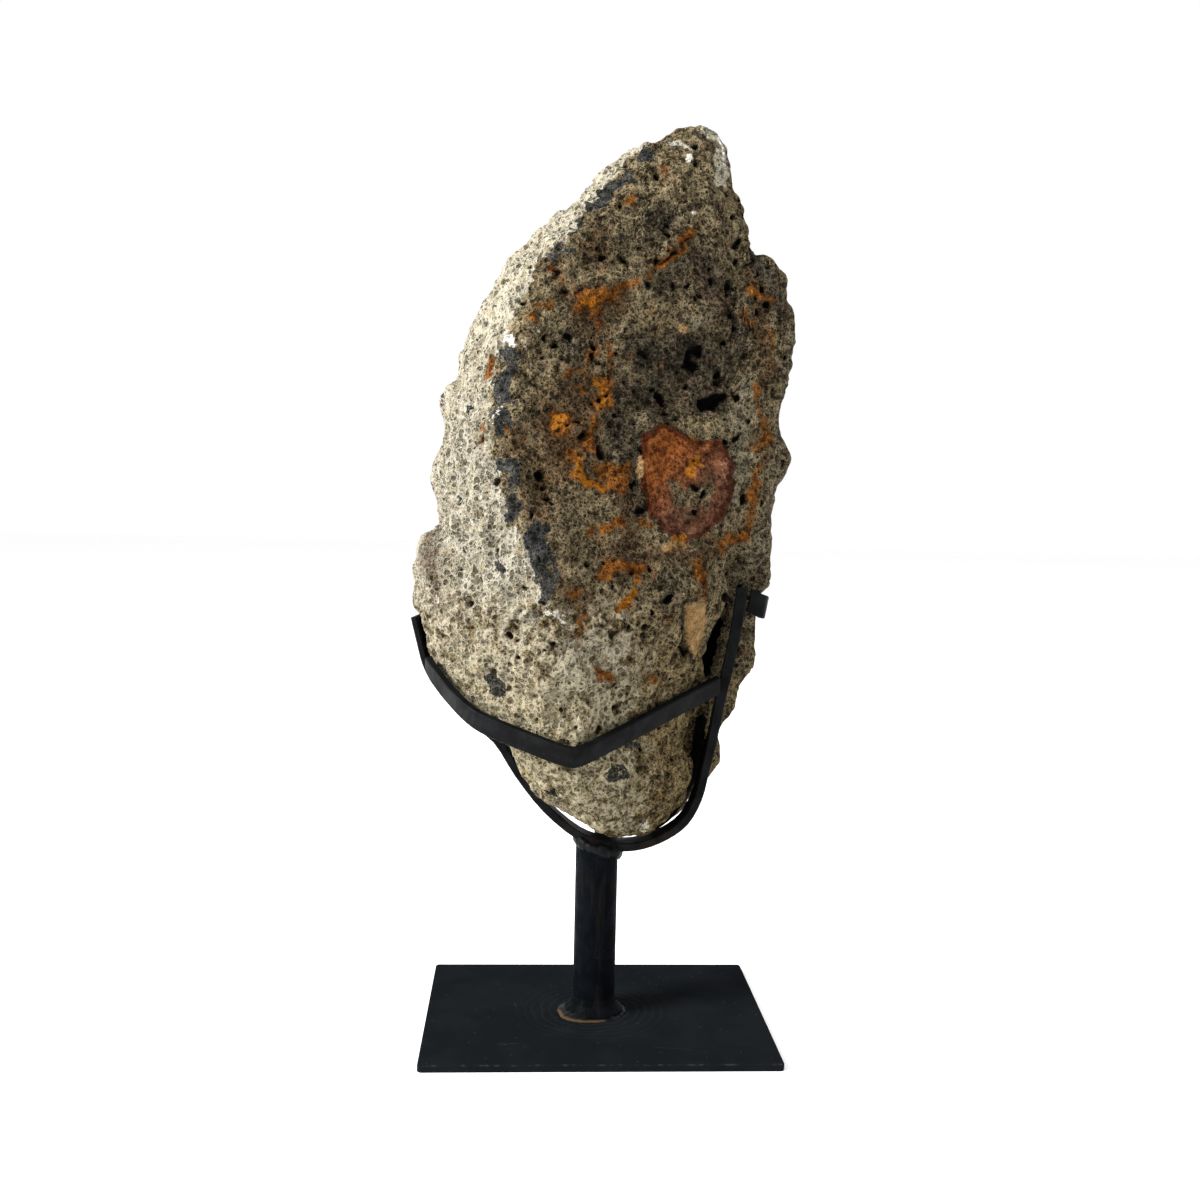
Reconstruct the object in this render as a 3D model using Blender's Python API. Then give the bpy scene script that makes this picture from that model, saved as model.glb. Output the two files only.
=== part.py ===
"""Half an agate nodule on a welded steel stand.

The stone's rough rind faces the front (-Y) and its sawn, polished face the back (+Y).
The stand is a flat base plate, a round post, a U-shaped strap that goes under the stone,
a V-shaped strap across its front, a hook over its right rim and a prong behind its foot.

Metres, +Z up, origin in the middle of the base plate's underside. Sizes below are in
millimetres and become metres through MM.
"""
import math

import bmesh
import bpy
import numpy as np
from mathutils import Matrix, Vector, noise
from mathutils.bvhtree import BVHTree

MM = 0.001

# Steel plate, 6 x 4.5 in and an eighth thick, corners just broken with a file
PLATE_WIDTH = 152.4
PLATE_DEPTH = 114.3
PLATE_THICK = 3.2
PLATE_CORNER_RADIUS = 1.6
PLATE_EDGE_BREAK = 0.4

# Round post, 3/4 in, with the weld that spreads from its foot
POST_DIAMETER = 19.05
POST_X = -0.8
POST_FOOT_WELD = ((13.6, 0.0), (13.2, 1.4), (11.6, 2.9), (10.3, 4.6))
POST_WELD_TOP = 7.5
POST_TOP = 77.5
POST_SPARE = 12.0
POST_SIDES = 32

# Neighbouring pieces are welded or rest on each other with this much air between the meshes
WELD_GAP = 0.3
STONE_GAP = 1.3

# Flat bar of the U-shaped strap: depth front to back, and thickness before hammering
STRAP_DEPTH = 11.0
STRAP_THICK = 3.8
BAR_EDGE = 0.5

# Middle line of the U-shaped strap, seen from the front, down the left arm and up the right:
# x, z, thickness as a share of STRAP_THICK, and how far the bar is turned about its own line
STRAP_LINE = (
    (-82.6, 182.8, 0.74, 15),
    (-79.8, 171.5, 0.76, 15),
    (-77.4, 162.6, 0.80, 14),
    (-74.4, 156.3, 0.88, 11),
    (-66.8, 146.0, 0.95, 8),
    (-57.2, 137.0, 1.0, 5),
    (-46.6, 128.6, 1.0, 3),
    (-36.8, 113.2, 1.0, 0),
    (-24.3, 97.6, 1.0, 0),
    (-9.3, 85.4, 1.0, 0),
    (1.0, 81.4, 1.02, 0),
    (9.5, 80.2, 1.04, 0),
    (19.2, 81.2, 1.02, 0),
    (30.0, 85.6, 1.0, 0),
    (38.2, 92.0, 1.0, 0),
    (43.8, 102.4, 1.0, 0),
    (47.0, 115.6, 1.02, -2),
    (50.2, 130.0, 1.1, -5),
    (53.2, 147.0, 1.24, -8),
    (57.2, 166.0, 1.32, -10),
    (60.0, 182.0, 1.34, -11),
    (61.9, 197.6, 1.30, -12),
)

# Flat bar of the V-shaped strap, and its middle line from the left arm to the right one
BRACE_WIDTH = 9.0
BRACE_THICK = 3.2
BRACE_LEAN = 18.0
BRACE_LINE = (
    (-76.8, -9.8, 162.8),
    (-74.6, -13.2, 159.6),
    (-69.2, -19.6, 154.0),
    (-62.4, -28.0, 148.0),
    (-54.6, -34.8, 142.8),
    (-45.0, -39.4, 139.0),
    (-30.0, -45.2, 134.2),
    (-19.0, -49.2, 131.0),
    (-14.8, -50.3, 130.2),
    (-10.8, -49.0, 130.8),
    (-2.0, -43.4, 134.0),
    (19.0, -29.8, 142.2),
    (38.0, -17.4, 150.0),
    (50.6, -9.4, 154.9),
)

# Hook over the right rim: from the arm's top, round the rim, and in over the polished face
HOOK_WIDTH = 10.4
HOOK_THICK = 3.2
HOOK_LEAN = 0.17
HOOK_LINE = (
    (64.9, -1.0, 192.2),
    (68.2, -1.0, 190.6),
    (70.8, 0.0, 189.5),
    (72.1, 3.2, 188.9),
    (73.4, 10.0, 188.5),
    (73.8, 20.2, 188.2),
    (72.8, 23.8, 188.1),
    (70.0, 25.1, 188.0),
    (63.0, 25.0, 187.6),
)

# Prong behind the foot: back from under the strap, then up against the polished face
PRONG_WIDTH = 10.0
PRONG_THICK = 3.2
PRONG_LINE = (
    (3.7, 5.9, 81.6),
    (3.7, 9.6, 81.6),
    (3.7, 12.6, 82.8),
    (3.7, 14.2, 86.3),
    (3.7, 14.9, 92.0),
    (3.7, 16.9, 111.0),
)

# The sawn face: its depth where z is CUT_HEIGHT, and how far it goes back per unit of height
CUT_HEIGHT = 200.0
CUT_DEPTH = 24.0
CUT_SLOPE = 0.105
RIM_DRAW_IN = 2.6
SAW_ALLOWANCE = 7.0

# Outline of the stone from the front, as x at each height, from the tip down
LEFT_OUTLINE = (
    (404, 35), (401, 23), (396, 12), (391, 4), (384, -1), (377, -8), (369, -16), (361, -25),
    (354, -32), (346, -40), (339, -46), (331, -50), (324, -55), (317, -59), (309, -62),
    (301, -64), (293, -66), (286, -67), (282, -73), (275, -75), (267, -73), (259, -72),
    (252, -75), (245, -76.5), (238, -75.5), (230, -74.5), (224, -77), (217, -82), (209, -83),
    (202, -85), (195, -83.5), (188, -82), (182, -79.5), (174, -76.5), (165, -73), (156, -68),
    (148, -61.5), (140, -53), (132, -44), (124, -38.5), (115, -33), (108, -27), (102, -18),
    (97, -9), (92, -1), (89, 6),
)
RIGHT_OUTLINE = (
    (404, 46), (401, 52), (396, 54), (387, 54.5), (379, 54), (373, 59.0), (365, 60), (358, 57.5),
    (353.5, 56.5), (349.5, 66), (343, 77), (336, 81), (329, 81), (322, 83), (314, 85), (306, 84),
    (298, 83), (290, 82), (284, 81), (277, 79), (270, 79), (263, 82), (256, 83.5), (249, 82),
    (242, 77.5), (234, 76), (225, 75.5), (215, 75), (206, 75.5), (199, 76), (193, 71.5),
    (186, 70), (179, 71), (170, 70), (160, 68.5), (152, 66), (145, 63), (138, 59.5),
    (130, 54), (121, 52), (114, 49.5), (107, 43.5), (101, 39.5), (96, 35), (92, 29.5), (89, 21),
)

# Lines that run down the front of the stone, as height, x and y
LEFT_FLANK = (
    (404, 36, 33), (396, 15, 24), (384, 2, 16), (366, -14, 8), (348, -34, 2), (318, -53, -6),
    (284, -63, -13), (255, -67, -18), (225, -68, -24), (200, -66, -30), (180, -64, -30),
    (165, -62, -28), (150, -57, -26.5), (135, -45, -28), (120, -32, -26), (105, -15, -22),
    (95, -3, -18), (89, 8, -12),
)
RIDGE = (
    (404, 38, 31), (396, 22, 19), (384, 12, 9), (366, -2, -3), (348, -20, -12), (318, -38, -24),
    (284, -46, -34), (255, -49, -41), (225, -42, -48), (200, -30, -53), (175, -22, -54),
    (150, -18, -49.5), (135, -16, -46), (120, -10, -39.5), (105, -2, -30), (95, 5, -22),
    (89, 10, -12),
)
CREST = (
    (404, 41, 30), (396, 33, 18), (384, 27, 8), (366, 18, -1), (348, 8, -8), (318, -6, -17),
    (284, -12, -26), (255, -14, -34), (225, -10, -42), (200, -4, -48), (175, 0, -47.5),
    (150, 1, -41), (135, 0, -37.5), (120, 4, -32), (105, 8, -24), (95, 11, -17), (89, 13, -11),
)
CHEEK = (
    (404, 44, 31), (396, 43, 20), (384, 40, 11), (366, 36, 3), (348, 32, -2), (318, 28, -6),
    (284, 24, -12), (255, 22, -20), (225, 26, -27), (200, 30, -34), (175, 28, -33),
    (150, 24, -24.5), (135, 20, -21.5), (120, 19, -20), (105, 17, -17), (95, 17, -13),
    (89, 16, -9),
)
SHOULDER = (
    (404, 46, 32), (396, 49, 22), (384, 49, 15), (366, 50, 9), (348, 50, 5), (318, 54, 2),
    (284, 54, -2), (255, 52, -8), (225, 52, -13), (210, 53, -14), (195, 52.5, -12),
    (175, 47, -11), (150, 40.5, -8), (135, 36, -8), (120, 33, -8), (105, 27, -9), (95, 23, -8),
    (89, 18, -7),
)
CREVICE = (
    (404, 47, 33), (396, 52, 25), (384, 52.5, 19), (366, 56, 14), (348, 60, 11), (318, 66, 8),
    (284, 66, 3), (255, 64, -2), (230, 61, -6), (218, 59, -3), (209, 56, 8), (198, 54.5, 13),
    (175, 49.5, 13.5), (150, 43.5, 12.5), (135, 39.5, 11.5), (120, 36, 10), (108, 31, 7),
    (97, 25.5, 2.5), (89, 19, -4),
)
SLAB_FRONT = (
    (404, 47.5, 35), (396, 53.5, 28), (384, 54, 22), (366, 59, 18), (348, 68, 15), (318, 77, 12),
    (284, 75, 8), (255, 76, 4), (230, 70, 0), (218, 68, 2.5), (209, 64, 9), (198, 61, 11),
    (175, 56, 11), (150, 50.5, 10.5), (135, 46, 10), (120, 43, 9.5), (108, 37, 5.5), (97, 31, 2),
    (89, 20, -1),
)

# The slab stands behind the right arm here: height, and the depth of its right rim
RIGHT_RIM_DEPTH = (
    (404, 37), (390, 27), (300, 15.5), (230, 8.5), (215, 9.5), (205, 11), (195, 12.5), (150, 12.5),
    (120, 12), (112, 10.5), (104, 7.5), (97, 5), (89, 0),
)
LEFT_RIM_DEPTH = (
    (404, 37), (390, 27), (300, 15.5), (200, 5), (165, 1.5), (140, -1), (120, -3), (105, -6), (89, -9),
)

# Rows of the stone's mesh from bottom to top, two more at the notch below the tip, and the
# faces between one line and the next
STONE_BOTTOM = 90.5
STONE_TOP = 402.8
STONE_ROWS = 59
NOTCH_ROWS = (357.0, 351.7)
FACES_BETWEEN = (4, 6, 7, 6, 5, 5, 5, 3, 3, 4)

# Both ends are closed by a cap that is inset and raised, then worn round in passes, the first
# above and below these heights and each later one nearer the end
CAP_INSET = 5.0
CAP_RISE = 3.0
WORN_ABOVE = 388.0
WORN_ABOVE_STEP = 2.0
WORN_BELOW = 142.0
WORN_BELOW_STEP = 6.0
WORN_PASSES = 7

# Weathered surface: size and height of its swells, largest first, and of the knobbly crust
SWELLS = ((30.0, 2.6), (10.5, 2.3))
CRUST_SIZE = 14.0
CRUST_HEIGHT = 4.4
CRUST_MIDDLE = 0.42
SURFACE_SEED = Vector((3.1, 7.7, 1.9))

# The rind is calmer next to the steel and towards the sawn face: reach of each, and how much
STEEL_CALM_REACH = 11.0
SAWN_CALM_FROM = 2.0
SAWN_CALM_REACH = 8.0
SAWN_CALM = 0.5

# Hollows and knobs that stand out from a step away: x, z on the front, radius and height
FEATURES = (
    (30, 286, 17, -3.4), (22, 255, 9, -1.6), (46, 300, 12, -2.6), (38, 246, 21, 1.6),
    (-4, 284, 9, -1.6), (-58, 262, 11, 1.8), (-60, 232, 12, 2.0), (-74, 206, 13, 2.8),
    (68, 330, 14, 2.4), (70, 300, 13, 1.8), (70, 256, 12, 2.2), (14, 340, 9, -1.8),
    (26, 372, 14, 1.8), (16, 392, 8, 1.6), (-20, 322, 14, 1.6), (-8, 214, 12, -1.4),
    (38, 208, 11, 1.8), (-24, 170, 20, 1.4), (8, 150, 10, -1.2), (-38, 204, 10, -1.8),
    (52, 284, 10, -3.0), (34, 302, 9, -2.4), (62, 346, 9, 2.0), (-50, 292, 10, -1.4),
)

# Steps and creases: points x, z down the front, half their width and their depth
CREASES = (
    (((-76, 223), (-70, 214), (-64, 204), (-54, 196)), 7.0, 2.8),
    (((62, 338), (52, 326), (50, 316)), 6.0, 1.8),
    (((42, 281), (52, 278), (58, 284)), 6.0, 2.2),
    (((-62, 258), (-60, 240), (-61, 222), (-56, 206)), 5.5, 1.2),
    (((40, 349), (30, 338), (20, 331)), 5.5, 1.6),
)


def clear_scene():
    for scene_object in list(bpy.data.objects):
        bpy.data.objects.remove(scene_object, do_unlink=True)


def make_material(name, colour, roughness, metallic):
    material = bpy.data.materials.new(name)
    material.use_nodes = True
    shader = material.node_tree.nodes["Principled BSDF"]
    shader.inputs["Base Color"].default_value = (*colour, 1.0)
    shader.inputs["Roughness"].default_value = roughness
    shader.inputs["Metallic"].default_value = metallic
    return material


def finish_piece(name, bm, material, smooth_angle=35.0):
    """Turn a bmesh in millimetres into a named object in metres."""
    bmesh.ops.recalc_face_normals(bm, faces=bm.faces)
    bmesh.ops.scale(bm, vec=(MM, MM, MM), verts=bm.verts)
    mesh = bpy.data.meshes.new(name)
    bm.to_mesh(mesh)
    bm.free()
    mesh.shade_smooth()
    mesh.set_sharp_from_angle(angle=math.radians(smooth_angle))
    mesh.materials.append(material)
    piece = bpy.data.objects.new(name, mesh)
    bpy.context.scene.collection.objects.link(piece)
    return piece


def smooth_points(points, steps):
    """Points on a smooth curve through the given ones, steps of them to each stretch."""
    knots = np.array(points, dtype=float)
    gaps = np.linalg.norm(np.diff(knots, axis=0), axis=1)
    along = np.concatenate(([0.0], np.cumsum(np.sqrt(gaps))))
    counts = [steps] * (len(knots) - 1) if isinstance(steps, int) else steps
    slopes = hermite_slopes(along, knots)
    curve = [knots[0]]
    for i, count in enumerate(counts):
        for step in range(1, count + 1):
            curve.append(hermite(along, knots, slopes, i, step / count))
    return np.array(curve)


def hermite_slopes(along, knots):
    return np.gradient(knots, along, axis=0, edge_order=1)


def hermite(along, knots, slopes, i, share):
    span = along[i + 1] - along[i]
    near = 2 * share**3 - 3 * share**2 + 1
    near_slope = share**3 - 2 * share**2 + share
    far_slope = share**3 - share**2
    return (near * knots[i] + near_slope * span * slopes[i]
            + (1 - near) * knots[i + 1] + far_slope * span * slopes[i + 1])


def line_at(line, height):
    """Where a line that runs down the stone is at one height."""
    rising = np.array(line[::-1], dtype=float)
    heights = rising[:, 0]
    values = rising[:, 1:]
    slopes = hermite_slopes(heights, values)
    i = int(np.clip(np.searchsorted(heights, height) - 1, 0, len(heights) - 2))
    share = (height - heights[i]) / (heights[i + 1] - heights[i])
    return hermite(heights, values, slopes, i, float(np.clip(share, 0.0, 1.0)))


def cut_depth_at(height):
    return CUT_DEPTH + (height - CUT_HEIGHT) * CUT_SLOPE


def base_plate(material):
    bm = bmesh.new()
    bmesh.ops.create_cube(bm, size=1.0)
    bmesh.ops.scale(bm, vec=(PLATE_WIDTH, PLATE_DEPTH, PLATE_THICK), verts=bm.verts)
    bmesh.ops.translate(bm, vec=(0, 0, PLATE_THICK / 2), verts=bm.verts)
    upright = [e for e in bm.edges if abs(e.verts[0].co.z - e.verts[1].co.z) > 1.0]
    bmesh.ops.bevel(bm, geom=upright, offset=PLATE_CORNER_RADIUS, offset_type="OFFSET",
                    segments=3, profile=0.5, affect="EDGES")
    flat = [e for e in bm.edges if e.calc_face_angle(0.0) > math.radians(60)]
    bmesh.ops.bevel(bm, geom=flat, offset=PLATE_EDGE_BREAK, offset_type="OFFSET",
                    segments=1, profile=0.5, affect="EDGES")
    return finish_piece("base_plate", bm, material)


def post(material, strap):
    """A round bar turned with its foot weld, its top coped to the strap that it carries."""
    foot = PLATE_THICK + WELD_GAP
    radius = POST_DIAMETER / 2
    profile = [(r, foot + z) for r, z in POST_FOOT_WELD] + [(radius, foot + POST_WELD_TOP)]
    bm = bmesh.new()
    rim = [bm.verts.new((r, 0, z)) for r, z in profile]
    rim.append(bm.verts.new((radius, 0, POST_TOP + POST_SPARE)))
    edges = [bm.edges.new(pair) for pair in zip(rim, rim[1:])]
    bmesh.ops.spin(bm, geom=rim + edges, axis=(0, 0, 1), cent=(0, 0, 0),
                   angle=math.tau, steps=POST_SIDES, use_merge=True)
    bmesh.ops.remove_doubles(bm, verts=bm.verts, dist=0.01)
    bmesh.ops.holes_fill(bm, edges=[e for e in bm.edges if e.is_boundary], sides=0)
    bmesh.ops.translate(bm, vec=(POST_X, 0, 0), verts=bm.verts)
    cope_top(bm, strap)
    return finish_piece("post", bm, material)


def cope_top(bm, strap):
    """Bring the top rim down until it just clears the underside of the strap."""
    under = steel_trees([strap])[0]
    reach = STRAP_DEPTH / 2 - BAR_EDGE - WELD_GAP / 2
    rim = [v for v in bm.verts if v.co.z > POST_TOP]
    for front in [v for v in rim if v.co.y < -0.1]:
        across = Vector((front.co.x, -front.co.y, front.co.z))
        back = min(rim, key=lambda v: (v.co - across).length)
        bmesh.ops.connect_verts(bm, verts=[front, back])
    for vert in rim:
        start = Vector((vert.co.x, max(-reach, min(reach, vert.co.y)), POST_TOP - 20))
        hit = under.ray_cast(start, Vector((0, 0, 1)))[0]
        vert.co.z = hit.z - 2 * WELD_GAP


def flat_bar(name, stations, width_axis, material, square=True):
    """A flat bar bent along stations of (point, width, thickness, turn in degrees)."""
    points = [Vector(station[0]) for station in stations]
    bm = bmesh.new()
    rings = []
    for i, (point, width, thick, turn) in enumerate(stations):
        ahead = points[min(i + 1, len(points) - 1)] - points[max(i - 1, 0)]
        tangent = ahead.normalized()
        across = Vector(width_axis)
        if square:
            across -= across.dot(tangent) * tangent
        across = Matrix.Rotation(math.radians(turn), 3, tangent) @ across.normalized()
        through = tangent.cross(across).normalized()
        ring = []
        for u, v in bar_section(width / 2, thick / 2):
            ring.append(bm.verts.new(Vector(point) + across * u + through * v))
        rings.append(ring)
    loops = [[bm.edges.new((a, b)) for a, b in zip(r, r[1:] + r[:1])] for r in rings]
    for lower, upper in zip(rings, rings[1:]):
        for a, b, c, d in zip(lower, lower[1:] + lower[:1], upper[1:] + upper[:1], upper):
            bm.faces.new((a, b, c, d))
    bmesh.ops.holes_fill(bm, edges=loops[0] + loops[-1], sides=0)
    return finish_piece(name, bm, material)


def bar_section(half_width, half_thick):
    e = BAR_EDGE
    return ((half_width - e, half_thick), (half_width, half_thick - e),
            (half_width, e - half_thick), (half_width - e, -half_thick),
            (e - half_width, -half_thick), (-half_width, e - half_thick),
            (-half_width, half_thick - e), (e - half_width, half_thick))


def under_strap(material):
    line = smooth_points([(x, z, share, turn) for x, z, share, turn in STRAP_LINE], 3)
    stations = [((x, 0.0, z), STRAP_DEPTH, STRAP_THICK * share, turn)
                for x, z, share, turn in line]
    return flat_bar("under_strap", stations, (0, 1, 0), material)


def front_strap(material):
    line = smooth_points(BRACE_LINE, 3)
    stations = [(point, BRACE_WIDTH, BRACE_THICK, BRACE_LEAN) for point in line]
    return flat_bar("front_strap", stations, (0, 0, 1), material)


def rim_hook(material):
    line = smooth_points(HOOK_LINE, 3)
    stations = [(point, HOOK_WIDTH, HOOK_THICK, 0.0) for point in line]
    return flat_bar("rim_hook", stations, (HOOK_LEAN, 0, 1), material, square=False)


def rear_prong(material):
    line = smooth_points(PRONG_LINE, 3)
    stations = [(point, PRONG_WIDTH, PRONG_THICK, 0.0) for point in line]
    return flat_bar("rear_prong", stations, (1, 0, 0), material)


def stone_row(height):
    """One level line round the stone's front, from the sawn face on the left to the right."""
    left = line_at(LEFT_OUTLINE, height)[0]
    right = line_at(RIGHT_OUTLINE, height)[0]
    behind = cut_depth_at(height) + SAW_ALLOWANCE
    knots = [(left + RIM_DRAW_IN, behind), (left, line_at(LEFT_RIM_DEPTH, height)[0])]
    for line in (LEFT_FLANK, RIDGE, CREST, CHEEK, SHOULDER, CREVICE, SLAB_FRONT):
        knots.append(tuple(line_at(line, height)))
    knots.append((right, line_at(RIGHT_RIM_DEPTH, height)[0]))
    knots.append((right - RIM_DRAW_IN, behind))
    return [Vector((x, y, height)) for x, y in smooth_points(knots, FACES_BETWEEN)]


def distance_to_line(point, line):
    """Distance from a point on the front to a line of x, z points."""
    place = Vector((point.x, point.z))
    nearest = []
    for start, end in zip(line, line[1:]):
        run = Vector(end) - Vector(start)
        share = (place - Vector(start)).dot(run) / run.length_squared
        foot = Vector(start) + run * min(1.0, max(0.0, share))
        nearest.append((place - foot).length)
    return min(nearest)


def feature_height(point):
    """How far the named hollows, knobs and creases lift the front surface at a point."""
    lift = 0.0
    for x, z, radius, height in FEATURES:
        share = math.hypot(point.x - x, point.z - z) / radius
        if share < 1.0:
            lift += height * (1.0 - share * share) ** 2
    for line, half_width, depth in CREASES:
        share = distance_to_line(point, line) / half_width
        if share < 1.0:
            lift -= depth * (1.0 - share * share) ** 2
    return lift


def steel_trees(steel):
    """Search trees of the steel pieces, in millimetres."""
    return [BVHTree.FromPolygons([v.co / MM for v in piece.data.vertices],
                                 [tuple(p.vertices) for p in piece.data.polygons])
            for piece in steel]


def wear_ends(bm):
    """Round off the tip and the foot."""
    for i in range(WORN_PASSES):
        above = WORN_ABOVE + WORN_ABOVE_STEP * i
        below = WORN_BELOW - WORN_BELOW_STEP * i
        ends = [v for v in bm.verts if v.co.z > above or v.co.z < below]
        bmesh.ops.smooth_vert(bm, verts=ends, factor=0.5, use_axis_x=True, use_axis_y=True,
                              use_axis_z=True)


def weather(bm, trees):
    """Roughen the rind with lumps along its normals, and with the named features in front."""
    bm.normal_update()
    moves = []
    for vert in bm.verts:
        lift = 0.0
        for size, height in SWELLS:
            lift += height * noise.noise(vert.co / size + SURFACE_SEED * size)
        knob = noise.voronoi(vert.co / CRUST_SIZE + SURFACE_SEED)[0][0]
        lift += CRUST_HEIGHT * (CRUST_MIDDLE - knob)
        back = min(1.0, max(0.0, (vert.co.y - SAWN_CALM_FROM) / SAWN_CALM_REACH))
        lift *= 1.0 - SAWN_CALM * back
        if vert.normal.y < 0.2:
            lift += feature_height(vert.co)
        beside = min(tree.find_nearest(vert.co)[3] for tree in trees)
        moves.append(vert.normal * lift * min(1.0, beside / STEEL_CALM_REACH))
    for vert, move in zip(bm.verts, moves):
        vert.co += move


def saw_face(bm):
    """Saw the stone flat behind and close the cut."""
    normal = Vector((0, 1, -CUT_SLOPE)).normalized()
    cut = bmesh.ops.bisect_plane(bm, geom=bm.verts[:] + bm.edges[:] + bm.faces[:], dist=0.001,
                                 plane_co=(0, CUT_DEPTH, CUT_HEIGHT), plane_no=normal,
                                 clear_outer=True)
    rim = [g for g in cut["geom_cut"] if isinstance(g, bmesh.types.BMEdge)]
    sawn = bmesh.ops.contextual_create(bm, geom=rim)["faces"]
    bmesh.ops.triangulate(bm, faces=sawn)


def seat_stone(bm, trees):
    """Press the rind in wherever it would touch the steel, so that it rests beside it."""
    for tree in trees:
        for vert in bm.verts:
            near, normal, _, distance = tree.find_nearest(vert.co, STEEL_CALM_REACH)
            if near is None:
                continue
            outside = (vert.co - near).dot(normal) > 0.0
            if not outside or distance < STONE_GAP:
                vert.co = near + normal * STONE_GAP


def agate(material, steel):
    even = np.linspace(STONE_BOTTOM, STONE_TOP, STONE_ROWS)
    heights = sorted(list(even) + list(NOTCH_ROWS))
    rows = [stone_row(z) for z in heights]
    bm = bmesh.new()
    grid = [[bm.verts.new(point) for point in row] for row in rows]
    for lower, upper in zip(grid, grid[1:]):
        for a, b, c, d in zip(lower, lower[1:], upper[1:], upper):
            bm.faces.new((a, b, c, d))
        bm.faces.new((lower[-1], lower[0], upper[0], upper[-1]))
    for row, rise in ((grid[0], -CAP_RISE), (grid[-1], CAP_RISE)):
        cap = bm.faces.new(row)
        bmesh.ops.inset_individual(bm, faces=[cap], thickness=CAP_INSET, depth=0.0)
        bmesh.ops.translate(bm, vec=(0, 0, rise), verts=cap.verts)
        bmesh.ops.poke(bm, faces=[cap])
    bmesh.ops.recalc_face_normals(bm, faces=bm.faces)
    wear_ends(bm)
    trees = steel_trees(steel)
    weather(bm, trees)
    saw_face(bm)
    seat_stone(bm, trees)
    return finish_piece("agate", bm, material, smooth_angle=55.0)


def build():
    clear_scene()
    steel = make_material("black_steel", (0.013, 0.014, 0.016), 0.5, 0.6)
    stone = make_material("agate_stone", (0.24, 0.19, 0.13), 0.9, 0.0)
    base_plate(steel)
    strap = under_strap(steel)
    post(steel, strap)
    holders = [strap, front_strap(steel), rim_hook(steel), rear_prong(steel)]
    agate(stone, holders)


build()
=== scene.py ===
"""A rough agate, sawn and polished flat on the far side, on its welded black steel stand."""
import math

import bmesh
import bpy
import numpy as np
from mathutils import Matrix, Vector, noise
from mathutils.bvhtree import BVHTree


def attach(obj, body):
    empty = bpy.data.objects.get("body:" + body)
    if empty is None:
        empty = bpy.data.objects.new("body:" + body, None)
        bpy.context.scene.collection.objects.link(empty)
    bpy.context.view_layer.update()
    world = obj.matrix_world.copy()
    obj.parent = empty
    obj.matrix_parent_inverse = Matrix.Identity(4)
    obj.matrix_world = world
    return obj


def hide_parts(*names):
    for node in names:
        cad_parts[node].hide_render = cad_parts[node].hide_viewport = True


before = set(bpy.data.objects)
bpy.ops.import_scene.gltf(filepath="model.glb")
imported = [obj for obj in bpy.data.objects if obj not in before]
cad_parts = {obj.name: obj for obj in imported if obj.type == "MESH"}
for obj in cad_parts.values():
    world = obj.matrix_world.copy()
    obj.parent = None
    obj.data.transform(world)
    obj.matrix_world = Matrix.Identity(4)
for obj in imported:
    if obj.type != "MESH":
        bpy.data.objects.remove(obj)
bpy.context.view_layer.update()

# Base plate
# A piece of eighth-inch mild steel plate, cut to 6 x 4.5 in, corners broken with a file and
# sprayed satin black. It lies flat on its own underside, with no feet or holes.
MM = 0.001
PLATE_HALF_WIDTH = 76.2
PLATE_HALF_DEPTH = 57.15
POST_X = -0.8
PLATE_SCRATCHES = (((-44, -37), (-34, -36), 0.22), ((-37, 9), (-36, 3), 0.2),
                   ((-20, -20), (-9, -25), 0.12), ((22, -40), (40, -43), 0.12))


def rgb(red, green, blue):
    """A paint or mineral colour from its eight-bit values, as the shader wants it."""
    linear = []
    for value in (red, green, blue):
        share = value / 255.0
        linear.append(share / 12.92 if share <= 0.04045 else ((share + 0.055) / 1.055) ** 2.4)
    return (*linear, 1.0)


def add_node(tree, kind, links=None, values=None, **settings):
    """Add one shader node, with its sockets linked or set by name."""
    made = tree.nodes.new(kind)
    for name, value in settings.items():
        setattr(made, name, value)
    for name, value in (values or {}).items():
        made.inputs[name].default_value = value
    for name, socket in (links or {}).items():
        tree.links.new(socket, made.inputs[name])
    return made


def arithmetic(tree, operation, first, second=None, third=None, clamp=False):
    """One Math node. Each input is a number or a socket."""
    made = tree.nodes.new("ShaderNodeMath")
    made.operation = operation
    made.use_clamp = clamp
    for i, item in enumerate((first, second, third)):
        if item is None:
            continue
        if isinstance(item, (int, float)):
            made.inputs[i].default_value = item
        else:
            tree.links.new(item, made.inputs[i])
    return made.outputs[0]


def cloud(tree, where, size, detail=3.0, roughness=0.55, distortion=0.0):
    """Noise of one size in millimetres, from about 0.2 to 0.8."""
    return add_node(tree, "ShaderNodeTexNoise", {"Vector": where},
                    {"Scale": 1.0 / size, "Detail": detail, "Roughness": roughness,
                     "Distortion": distortion}).outputs["Fac"]


def step_between(tree, value, low, high):
    """0 below low, 1 above high and smooth between."""
    return add_node(tree, "ShaderNodeMapRange", {"Value": value},
                    {"From Min": low, "From Max": high, "To Min": 0.0, "To Max": 1.0},
                    interpolation_type="SMOOTHSTEP").outputs["Result"]


def tint(tree, share, under, over, mode="MIX"):
    """Lay one colour over another by a share. Colours are sockets or values."""
    made = tree.nodes.new("ShaderNodeMix")
    made.data_type = "RGBA"
    made.blend_type = mode
    made.clamp_factor = True
    for i, item in ((0, share), (6, under), (7, over)):
        if isinstance(item, (int, float, tuple)):
            made.inputs[i].default_value = item
        else:
            tree.links.new(item, made.inputs[i])
    return made.outputs[2]


def millimetres(tree):
    """The surface's own place in the stand's frame, in millimetres."""
    place = tree.nodes.new("ShaderNodeTexCoord").outputs["Object"]
    return add_node(tree, "ShaderNodeMapping", {"Vector": place},
                    {"Scale": (1000.0, 1000.0, 1000.0)}).outputs["Vector"]


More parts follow.
